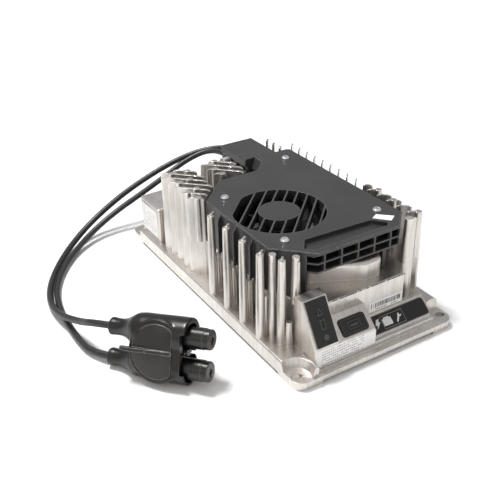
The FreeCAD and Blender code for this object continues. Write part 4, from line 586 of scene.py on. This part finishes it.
def connector_moulding():
    """Two tubes with cord boots that flow into one body, hollow in front, with a seat for the grip plate."""
    def outside(bm):
        revolved(bm, TUBE_PROFILE, -TUBE_AXIS)
        grown = [(u, r + UPPER_GROWTH * min(1.0, max(0.0, (u - GROWTH_START) / GROWTH_LENGTH)))
                 for u, r in TUBE_PROFILE]
        revolved(bm, grown, TUBE_AXIS)
        block(bm, *WEB)
        d_block(bm, *COLLAR)

    body = work_object("work_connector", outside)
    remesh = body.modifiers.new("Remesh", "REMESH")
    remesh.mode = "VOXEL"
    remesh.voxel_size = VOXEL
    relax = body.modifiers.new("Relax", "SMOOTH")
    relax.factor = 0.5
    relax.iterations = RELAX_PASSES
    cutters = [work_object("cut_bore_%d" % k, lambda bm, v=v: revolved(bm, BORE_PROFILE, v))
               for k, v in enumerate((-TUBE_AXIS, TUBE_AXIS))]
    cutters += [work_object("cut_between", lambda bm: block(bm, *CUT_BETWEEN)),
                work_object("cut_front", lambda bm: block(bm, *CUT_FRONT)),
                work_object("cut_seat", lambda bm: d_block(bm, *POCKET))]
    for cutter in cutters:
        cut = body.modifiers.new(cutter.name, "BOOLEAN")
        cut.operation = "DIFFERENCE"
        cut.solver = "EXACT"
        cut.object = cutter
    mesh = applied(body)
    for obj in [body] + cutters:
        bpy.data.objects.remove(obj)
    bm = bmesh.new()
    bm.from_mesh(mesh)
    block(bm, *RIB)
    block(bm, *RIB_HEAD)
    bm.to_mesh(mesh)
    bm.free()
    mesh.transform(connector_frame())
    for vertex in mesh.vertices:
        vertex.co.z = max(vertex.co.z, REST_HEIGHT)
    return smooth_shaded(mesh, MOULDING_SHARP)


def grip_cap():
    """D-shaped plate with a finger bar that runs out over the cord side, its edges eased."""
    def outside(bm):
        d_block(bm, *PLATE)
        low = [bm.verts.new((u * MM, -BAR_HALF * MM, w * MM)) for u, w in FINGER_BAR]
        high = [bm.verts.new((u * MM, BAR_HALF * MM, w * MM)) for u, w in FINGER_BAR]
        for k in range(len(low)):
            bm.faces.new((low[k - 1], low[k], high[k], high[k - 1]))
        bm.faces.new(low[::-1])
        bm.faces.new(high)

    work = work_object("work_grip", outside)
    ease = work.modifiers.new("Ease", "BEVEL")
    ease.width = EASED_EDGE
    ease.segments = 2
    ease.limit_method = "ANGLE"
    ease.angle_limit = GRIP_SHARP
    mesh = applied(work)
    bpy.data.objects.remove(work)
    mesh.transform(connector_frame())
    return smooth_shaded(mesh, GRIP_SHARP)


class CHARGER_OT_leads(bpy.types.Operator):
    """Two round leads from the terminal cover to the connector"""
    bl_idname = "charger.leads"
    bl_label = "Leads"

    def execute(self, context):
        s = context.scene.charger_leads
        mat = material("lead_jacket", tuple(context.scene.charger_finish.rubber), rough=(0.34, 0.44),
                       blotch=90.0, grain=1800.0, bump=0.2, bump_size=0.0001, edge=0.0002)
        moulding, cap = bpy.data.objects["connector_moulding"], bpy.data.objects["grip_cap"]
        for side, route, length in (("upper", LEAD_UPPER, s.upper_length),
                                    ("lower", LEAD_LOWER, s.lower_length)):
            pieces = [NODES["contact_sleeve_" + side], NODES["contact_socket_" + side]]
            if side == "upper":
                pieces += [moulding, cap]
            self.lead(side + "_lead", "lead_" + side, route, length, s.diameter, mat, pieces)
        return {"FINISHED"}

    def lead(self, name, node, route, length, diameter, mat, pieces):
        """Round cord along the control points of a route."""
        curve = bpy.data.curves.new(name, "CURVE")
        curve.dimensions = "3D"
        curve.bevel_depth = diameter / 2
        curve.bevel_resolution = 6
        curve.resolution_u = 12
        curve.use_fill_caps = True
        spline = curve.splines.new("NURBS")
        spline.points.add(len(route) - 1)
        for point, place in zip(spline.points, route):
            point.co = (*(c * MM for c in place), 1.0)
        spline.order_u = 3
        spline.use_endpoint_u = True
        obj = bpy.data.objects.new(name, curve)
        bpy.context.scene.collection.objects.link(obj)
        curve.materials.append(mat)
        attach(obj, CHARGER)
        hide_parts(node)


class CHARGER_OT_connector(bpy.types.Operator):
    """Moulded connector body, grip plate, contact sleeves and sockets"""
    bl_idname = "charger.connector"
    bl_label = "Connector"

    def execute(self, context):
        # Painted highlight: both plastics take a lighter colour on their edges, the grip's much lighter.
        mat = material("connector_plastic", (0.007, 0.0062, 0.0058), rough=(0.24, 0.34), blotch=60.0,
                       grain=1500.0, bump=0.12, bump_size=0.0001, edge=0.0005, highlight=0.35,
                       highlight_colour=(0.10, 0.095, 0.09))
        grip = material("grip_plastic", (0.017, 0.0148, 0.0134), rough=(0.26, 0.34), blotch=60.0,
                        grain=2200.0, bump=0.2, bump_size=0.0001, edge=0.0005, highlight=0.7,
                        highlight_colour=(0.36, 0.34, 0.32))
        body = object_from("connector_moulding", connector_moulding(), mat)
        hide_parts("connector_body")
        cap = object_from("grip_cap", grip_cap(), grip)
        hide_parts("connector_grip")
        for side in ("upper", "lower"):
            dress("contact_sleeve_" + side, mat)
            dress("contact_socket_" + side, plated())
        return {"FINISHED"}


class CHARGER_OT_housing(bpy.types.Operator):
    """Finish of the cast housing, its base plate and gasket"""
    bl_idname = "charger.housing"
    bl_label = "Housing"

    def execute(self, context):
        dress("heat_sink_housing", cast_metal())
        dress("bottom_plate", material("plate_paint", (0.03, 0.03, 0.031), rough=(0.4, 0.52), grain=1400.0))
        dress("bottom_gasket", rubber())
        for node in ("bottom_plate_screws", "shroud_screws", "inlet_screws", "fan_screws", "board_screws",
                     "fan_shaft"):
            dress(node, zinc())
        return {"FINISHED"}


class CHARGER_OT_covers(bpy.types.Operator):
    """Finish of the fan shroud, the terminal cover, the rubber plugs and boots"""
    bl_idname = "charger.covers"
    bl_label = "Covers and plugs"

    def execute(self, context):
        for node in ("fan_shroud", "terminal_cover"):
            dress(node, cover_plastic())
        for node in ("tall_port_plug", "square_port_plug", "lead_boot_upper", "lead_boot_lower"):
            dress(node, rubber())
        holder = material("holder_plastic", (0.03, 0.03, 0.032), rough=(0.38, 0.5), grain=2000.0)
        for node in ("service_port", "signal_port", "mains_inlet", "terminal_block", "fuse_holder"):
            dress(node, holder)
        brass = material("terminal_brass", (0.72, 0.53, 0.25), rough=(0.22, 0.36), metal=1.0, grain=1600.0)
        for node in ("terminal_studs", "mains_pins"):
            dress(node, brass)
        return {"FINISHED"}


class CHARGER_OT_fan(bpy.types.Operator):
    """Finish of the fan under the louvre"""
    bl_idname = "charger.fan"
    bl_label = "Fan"

    def execute(self, context):
        dress("fan_frame", material("fan_frame_plastic", (0.006, 0.006, 0.006), rough=(0.45, 0.6),
                                    grain=2200.0))
        dress("fan_rotor", material("fan_rotor_plastic", (0.012, 0.012, 0.0125), rough=(0.4, 0.5),
                                    grain=2200.0))
        dress("fan_stator", material("stator_steel", (0.45, 0.45, 0.46), rough=(0.3, 0.45), metal=1.0))
        dress("fan_bearing", material("bearing_bronze", (0.55, 0.38, 0.2), rough=(0.35, 0.5), metal=1.0))
        return {"FINISHED"}


class CHARGER_OT_inside(bpy.types.Operator):
    """Finish of the circuit board and what stands on it"""
    bl_idname = "charger.inside"
    bl_label = "Inside"

    def execute(self, context):
        board = material("board_laminate", (0.02, 0.13, 0.05), rough=(0.3, 0.4), coat=0.4, grain=1500.0)
        ferrite = material("ferrite", (0.06, 0.06, 0.065), rough=(0.4, 0.6), grain=1200.0)
        copper = material("copper_wire", (0.72, 0.28, 0.12), rough=(0.2, 0.34), metal=1.0, streak=0.4)
        sleeve = material("can_sleeve", (0.02, 0.02, 0.05), rough=(0.2, 0.3), coat=0.5)
        epoxy = material("device_epoxy", (0.025, 0.025, 0.027), rough=(0.4, 0.55))
        relay = material("relay_case", (0.02, 0.05, 0.2), rough=(0.2, 0.32), coat=0.3)
        ceramic = material("fuse_ceramic", (0.8, 0.79, 0.75), rough=(0.25, 0.4))
        steel = material("plate_metal", (0.5, 0.5, 0.5), rough=(0.3, 0.42), metal=1.0, streak=0.2)
        for node, mat in (("main_board", board), ("control_board", board), ("transformer_core", ferrite),
                          ("transformer_winding", copper), ("boost_inductor", copper),
                          ("mains_filter_choke", copper), ("bulk_capacitors", sleeve),
                          ("output_capacitors", sleeve), ("power_devices", epoxy), ("inrush_relay", relay),
                          ("fuse_link", ceramic), ("clamp_bar", steel)):
            dress(node, mat)
        return {"FINISHED"}


# ---- prints and signs ----------------------------------------------------------

# Directions of the faces that carry them
RIGHT, UP, LEFT_FACE = (1, 0, 0), (0, 0, 1), (0, -1, 0)
# Places in millimetres: middles of the printed fields, and of the code label's two rows from its middle
FRONT_PRINT_X, FRONT_PRINT_Z = -37.0, 19.0
STRIP_PRINT_X, STRIP_PRINT_Z = 3.0, 11.1
DECK_TICKS_X, DECK_TICKS_Z = 8.0, 55.6
CODE_BARS_RISE, CODE_DASHES_DROP = 0.9, 3.6
RATING_WIDTH_SHARE, RATING_HEIGHT_SHARE = 0.78, 0.72
# In metres: height of the ticks along the deck, and thickness of the panel's film
DECK_TICKS_DEPTH = 0.0005
PANEL_FILM = 0.00016

# Panel signs, in millimetres from the panel's middle: a bolt, a battery with its cap and a tool
PANEL_X, PANEL_SLOPE = 37.0, (0, 17.2, 13.7)
PANEL_SIGNS = [
    [(-24.4, 4.0), (-20.8, 4.6), (-23.0, 1.0), (-20.6, 1.2), (-27.2, -5.0), (-25.2, -0.8), (-27.4, -0.9)],
    rectangle(-18.4, -4.4, -8.2, 2.6),
    rectangle(-16.4, 2.6, -10.2, 3.8),
    [(-4.0, -4.2), (-2.6, -5.2), (1.0, -0.6), (2.8, -0.8), (4.0, 0.8), (2.0, 0.8), (1.4, 2.0), (2.2, 3.4),
     (0.2, 2.6), (-0.4, 0.8)]]
PANEL_FRAMES = ring_marks(-6.6, -0.6, 12.9, 6.2, 0.35) + ring_marks(0.0, 0.0, 33.5, 8.3, 0.2)
PANEL_SIGN_HEIGHT, PANEL_FRAME_HEIGHT = 0.06, 0.05

# Plugs: middle of the face with y from the front label's back, slope of the face, and signs on it
TALL_PLUG, TALL_SLOPE = (-53.25, 11.0, 48.5), (0, 22.0, 37.0)
SQUARE_PLUG, SQUARE_SLOPE = (-20.5, 7.5, 35.25), (0, 15.0, 14.5)
TALL_FACE = [rectangle(-10.3, -20.5, 10.3, 20.5)]
TALL_SIGNS = ring_marks(0.0, -2.4, 2.6, 4.4, 0.8) + [
    disc(0.0, -13.6, 2.6),
    [(-3.0, 6.0), (0.0, 12.6), (0.0, 11.0), (-1.9, 6.8)],
    [(3.0, 6.0), (1.9, 6.8), (0.0, 11.0), (0.0, 12.6)],
    [(-3.0, 6.0), (-1.9, 6.8), (1.9, 6.8), (3.0, 6.0)]]
SQUARE_SIGNS = (ring_marks(0.0, 0.0, 12.6, 6.6, 0.35) + ring_marks(0.0, 0.0, 6.4, 3.4, 0.5)
                + [rectangle(-4.0, -1.2, 4.0, 0.4)])
TALL_FACE_HEIGHT, SQUARE_FACE_HEIGHT, SIGN_HEIGHT = 1.7, 1.6, 0.45


class CHARGER_OT_labels(bpy.types.Operator):
    """Films on the front faces, the cover and the inlet block, their prints, and the signs on the plugs"""
    bl_idname = "charger.labels"
    bl_label = "Labels"

    def execute(self, context):
        film = material("label_film", (0.88, 0.88, 0.87), rough=(0.35, 0.45), dark=0.96, light=1.02,
                        edge=0.0001, grain=1500.0, bump=0.05)
        overlay = material("overlay_film", (0.006, 0.006, 0.006), rough=(0.3, 0.38), edge=0.0001,
                           grain=2500.0, bump=0.1)
        for node in ("front_label", "code_label", "small_sticker", "rating_label"):
            dress(node, film)
        dress("panel_label", overlay)
        grey = material("print_grey", (0.34, 0.34, 0.34), rough=(0.5, 0.6), grain=1500.0, bump=0.0)
        pale = material("print_pale", (0.58, 0.58, 0.58), rough=(0.5, 0.6), grain=1500.0, bump=0.0)
        black = material("print_black", (0.02, 0.02, 0.02), rough=(0.4, 0.5), grain=1500.0, bump=0.0)
        white = material("print_white", (0.75, 0.75, 0.74), rough=(0.4, 0.5), grain=1500.0, bump=0.0)
        self.print_front(grey, black)
        self.mark_panel(grey, white)
        self.print_strip_and_rating(grey, pale)
        self.mark_plugs()
        return {"FINISHED"}

    def print_front(self, grey, black):
        """Dashes on the front label, bars on the code label, and the row of ticks along the deck's edge."""
        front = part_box("front_label")[0][1] / MM
        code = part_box("code_label")
        code_x, _, code_z = [(a + b) / 2 / MM for a, b in zip(*code)]
        code_front, deck_front = code[0][1] / MM, code[1][1] / MM
        tick_rows("front_print", grey, plane((FRONT_PRINT_X, front, FRONT_PRINT_Z), RIGHT, UP),
                  columns=20, rows=6, field=(0.044, 0.0135), tick=(0.0016, 0.0008), vary=0.35, keep=0.88,
                  seed=4)
        tick_rows("code_bars", black, plane((code_x, code_front, code_z + CODE_BARS_RISE),
                                                          RIGHT, UP),
                  columns=30, rows=1, field=(0.034, 0.0), tick=(0.0006, 0.0052), vary=0.6, keep=0.9, seed=7)
        tick_rows("code_digits", black, plane((code_x, code_front, code_z - CODE_DASHES_DROP),
                                                            RIGHT, UP),
                  columns=14, rows=1, field=(0.026, 0.0), tick=(0.001, 0.0011), vary=0.3, keep=0.95, seed=2)
        tick_rows("parting_line", black, plane((DECK_TICKS_X, deck_front, DECK_TICKS_Z),
                                                                 RIGHT, UP),
                  columns=32, rows=1, field=(0.084, 0.0), tick=(0.0014, 0.0008), vary=0.4, keep=0.85, seed=3,
                  depth=DECK_TICKS_DEPTH)

    def mark_panel(self, grey, white):
        """Signs and frames on the sloping panel film."""
        low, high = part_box("panel_label")
        centre = (PANEL_X, (low[1] + high[1]) / 2 / MM, (low[2] + high[2]) / 2 / MM)
        panel = plane(centre, RIGHT, PANEL_SLOPE) @ Matrix.Translation((0, 0, PANEL_FILM))
        raised("panel_icons", white, panel, PANEL_SIGNS, PANEL_SIGN_HEIGHT)
        raised("panel_edge", grey, panel, PANEL_FRAMES, PANEL_FRAME_HEIGHT)

    def print_strip_and_rating(self, grey, pale):
        """Dashes along the foot of the front label, and on the rating label."""
        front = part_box("front_label")[0][1] / MM
        tick_rows("strip_print", grey, plane((STRIP_PRINT_X, front, STRIP_PRINT_Z), RIGHT, UP),
                  columns=62, rows=1, field=(0.130, 0.0), tick=(0.0015, 0.0007), vary=0.35, keep=0.9, seed=9)
        low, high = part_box("rating_label")
        middle = (low[0] / MM, (low[1] + high[1]) / 2 / MM, (low[2] + high[2]) / 2 / MM)
        tick_rows("rating_print", pale, plane(middle, LEFT_FACE, UP), columns=12, rows=9,
                  field=(RATING_WIDTH_SHARE * (high[1] - low[1]), RATING_HEIGHT_SHARE * (high[2] - low[2])),
                  tick=(0.0018, 0.0008), vary=0.35, keep=0.8, seed=11)

    def mark_plugs(self):
        """Square face of the tall plug, and the raised signs on both plugs."""
        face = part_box("front_label")[1][1] / MM
        mark = material("raised_rubber", (0.07, 0.066, 0.062), rough=(0.35, 0.45), grain=2200.0)
        tall = plane((TALL_PLUG[0], face + TALL_PLUG[1], TALL_PLUG[2]), RIGHT, TALL_SLOPE)
        raised("tall_plug_face", rubber(), tall, TALL_FACE, TALL_FACE_HEIGHT)
        tall = tall @ Matrix.Translation((0, 0, TALL_FACE_HEIGHT * MM))
        raised("tall_plug_marks", mark, tall, TALL_SIGNS, SIGN_HEIGHT)
        square = plane((SQUARE_PLUG[0], face + SQUARE_PLUG[1], SQUARE_PLUG[2]), RIGHT, SQUARE_SLOPE)
        square = square @ Matrix.Translation((0, 0, SQUARE_FACE_HEIGHT * MM))
        raised("square_plug_marks", mark, square, SQUARE_SIGNS, SIGN_HEIGHT)


# ---- stage ---------------------------------------------------------------------

# In metres and degrees
CAMERA_AT = (-0.377666, -0.566024, 0.425549)
CAMERA_TURN = (60.25604, 1.170014, -31.67302)
SENSOR_WIDTH = 36.0
NEAR_CLIP = 0.01
LIGHT_TARGET = (0.0, 0.0, 0.05)
OVERHEAD_AT, OVERHEAD_SIZE = (-0.28, 0.50, 1.48), 0.34
FILL_AT, FILL_SIZE = (-1.2, -0.5, 0.9), 0.8
# The studio darkens towards this direction, from one colour to the other
STUDIO_BACK = (0.55, 0.82, -0.1)
STUDIO_FRONT_COLOUR, STUDIO_BACK_COLOUR = (1.0, 0.975, 0.95), (0.60, 0.62, 0.65)
STUDIO_STRENGTH = 0.60
FLOOR_HALF = 6.0
FLOOR_COLOUR = (0.93, 0.93, 0.93, 1.0)
# The floor glows from nothing beside the object to this colour further out
FLOOR_GLOW = (0.5, 0.5, 0.5)
BLACK = (0.0, 0.0, 0.0)


class CHARGER_OT_stage(bpy.types.Operator):
    """Pale floor, soft light and the camera"""
    bl_idname = "charger.stage"
    bl_label = "Stage"

    def execute(self, context):
        s = context.scene.charger_stage
        self.camera(context, s.lens)
        self.floor()
        context.scene.world = self.studio()
        self.light("overhead", OVERHEAD_AT, OVERHEAD_SIZE, s.key)
        self.light("left_fill", FILL_AT, FILL_SIZE, s.fill)
        context.scene.view_settings.view_transform = "Standard"
        return {"FINISHED"}

    def studio(self):
        """Warm white in front and overhead, cooler and darker behind the object."""
        world = bpy.data.worlds.new("studio")
        world.use_nodes = True
        tree = world.node_tree
        where = add(tree, "ShaderNodeTexCoord")
        back = add(tree, "ShaderNodeVectorMath", {0: (where, "Generated"), 1: STUDIO_BACK},
                   operation="DOT_PRODUCT")
        spread = add(tree, "ShaderNodeMapRange", {"Value": (back, "Value"), "From Min": -0.3,
                                                  "From Max": 0.85})
        mix = mix_colours(tree, (spread, "Result"), STUDIO_FRONT_COLOUR, STUDIO_BACK_COLOUR)
        glow = tree.nodes["Background"]
        tree.links.new(mix.outputs[MIX_RESULT], glow.inputs["Color"])
        glow.inputs["Strength"].default_value = STUDIO_STRENGTH
        return world

    def camera(self, context, lens):
        """Camera where the photograph was taken from."""
        data = bpy.data.cameras.new("camera")
        data.sensor_width = SENSOR_WIDTH
        data.lens = lens
        data.clip_start = NEAR_CLIP
        camera = bpy.data.objects.new("camera", data)
        camera.location = CAMERA_AT
        camera.rotation_euler = [math.radians(a) for a in CAMERA_TURN]
        context.scene.collection.objects.link(camera)
        context.scene.camera = camera

    def floor(self):
        """White floor that fades into the background."""
        mesh = bpy.data.meshes.new("floor")
        corners = rectangle(-FLOOR_HALF, -FLOOR_HALF, FLOOR_HALF, FLOOR_HALF)
        mesh.from_pydata([(x, y, 0) for x, y in corners], [], [(0, 1, 2, 3)])
        obj = bpy.data.objects.new("floor", mesh)
        bpy.context.scene.collection.objects.link(obj)
        mat = bpy.data.materials.new("floor_white")
        mat.use_nodes = True
        tree = mat.node_tree
        bsdf = tree.nodes["Principled BSDF"]
        bsdf.inputs["Base Color"].default_value = FLOOR_COLOUR
        bsdf.inputs["Roughness"].default_value = 0.6
        where = add(tree, "ShaderNodeTexCoord")
        away = add(tree, "ShaderNodeVectorMath", {0: (where, "Object")}, operation="LENGTH")
        spread = add(tree, "ShaderNodeMapRange", {"Value": (away, "Value"), "From Min": 0.24,
                                                  "From Max": 0.8})
        # Painted light: the floor glows more the further it lies from the object, which lightens shade out
        # there.
        glow = mix_colours(tree, (spread, "Result"), BLACK, FLOOR_GLOW)
        tree.links.new(glow.outputs[MIX_RESULT], bsdf.inputs["Emission Color"])
        bsdf.inputs["Emission Strength"].default_value = 1.0
        mesh.materials.append(mat)

    def light(self, name, place, size, power):
        """Square light that faces the object."""
        data = bpy.data.lights.new(name, "AREA")
        data.shape = "SQUARE"
        data.size = size
        data.energy = power
        obj = bpy.data.objects.new(name, data)
        obj.location = place
        obj.rotation_euler = (Vector(LIGHT_TARGET) - Vector(place)).to_track_quat("-Z", "Y").to_euler()
        bpy.context.scene.collection.objects.link(obj)


class CHARGER_PT_panel(bpy.types.Panel):
    """Lists the build steps of the charger"""
    bl_label = "Battery charger"
    bl_idname = "CHARGER_PT_panel"
    bl_space_type = "VIEW_3D"
    bl_region_type = "UI"
    bl_category = "Charger"

    def draw(self, context):
        for step in STEPS:
            self.layout.operator("charger." + step)


STEPS = ("stage", "connector", "leads", "housing", "covers", "fan", "inside", "labels")
CLASSES = (ChargerLeadSettings, ChargerFinishSettings, ChargerStageSettings, CHARGER_OT_stage,
           CHARGER_OT_connector, CHARGER_OT_leads, CHARGER_OT_housing, CHARGER_OT_covers, CHARGER_OT_fan,
           CHARGER_OT_inside, CHARGER_OT_labels, CHARGER_PT_panel)


def register():
    for cls in CLASSES:
        bpy.utils.register_class(cls)
    bpy.types.Scene.charger_leads = PointerProperty(type=ChargerLeadSettings)
    bpy.types.Scene.charger_finish = PointerProperty(type=ChargerFinishSettings)
    bpy.types.Scene.charger_stage = PointerProperty(type=ChargerStageSettings)


def unregister():
    del bpy.types.Scene.charger_leads
    del bpy.types.Scene.charger_finish
    del bpy.types.Scene.charger_stage
    for cls in reversed(CLASSES):
        bpy.utils.unregister_class(cls)


def main():
    register()
    for step in STEPS:
        getattr(bpy.ops.charger, step)()


if __name__ == "__main__":
    main()
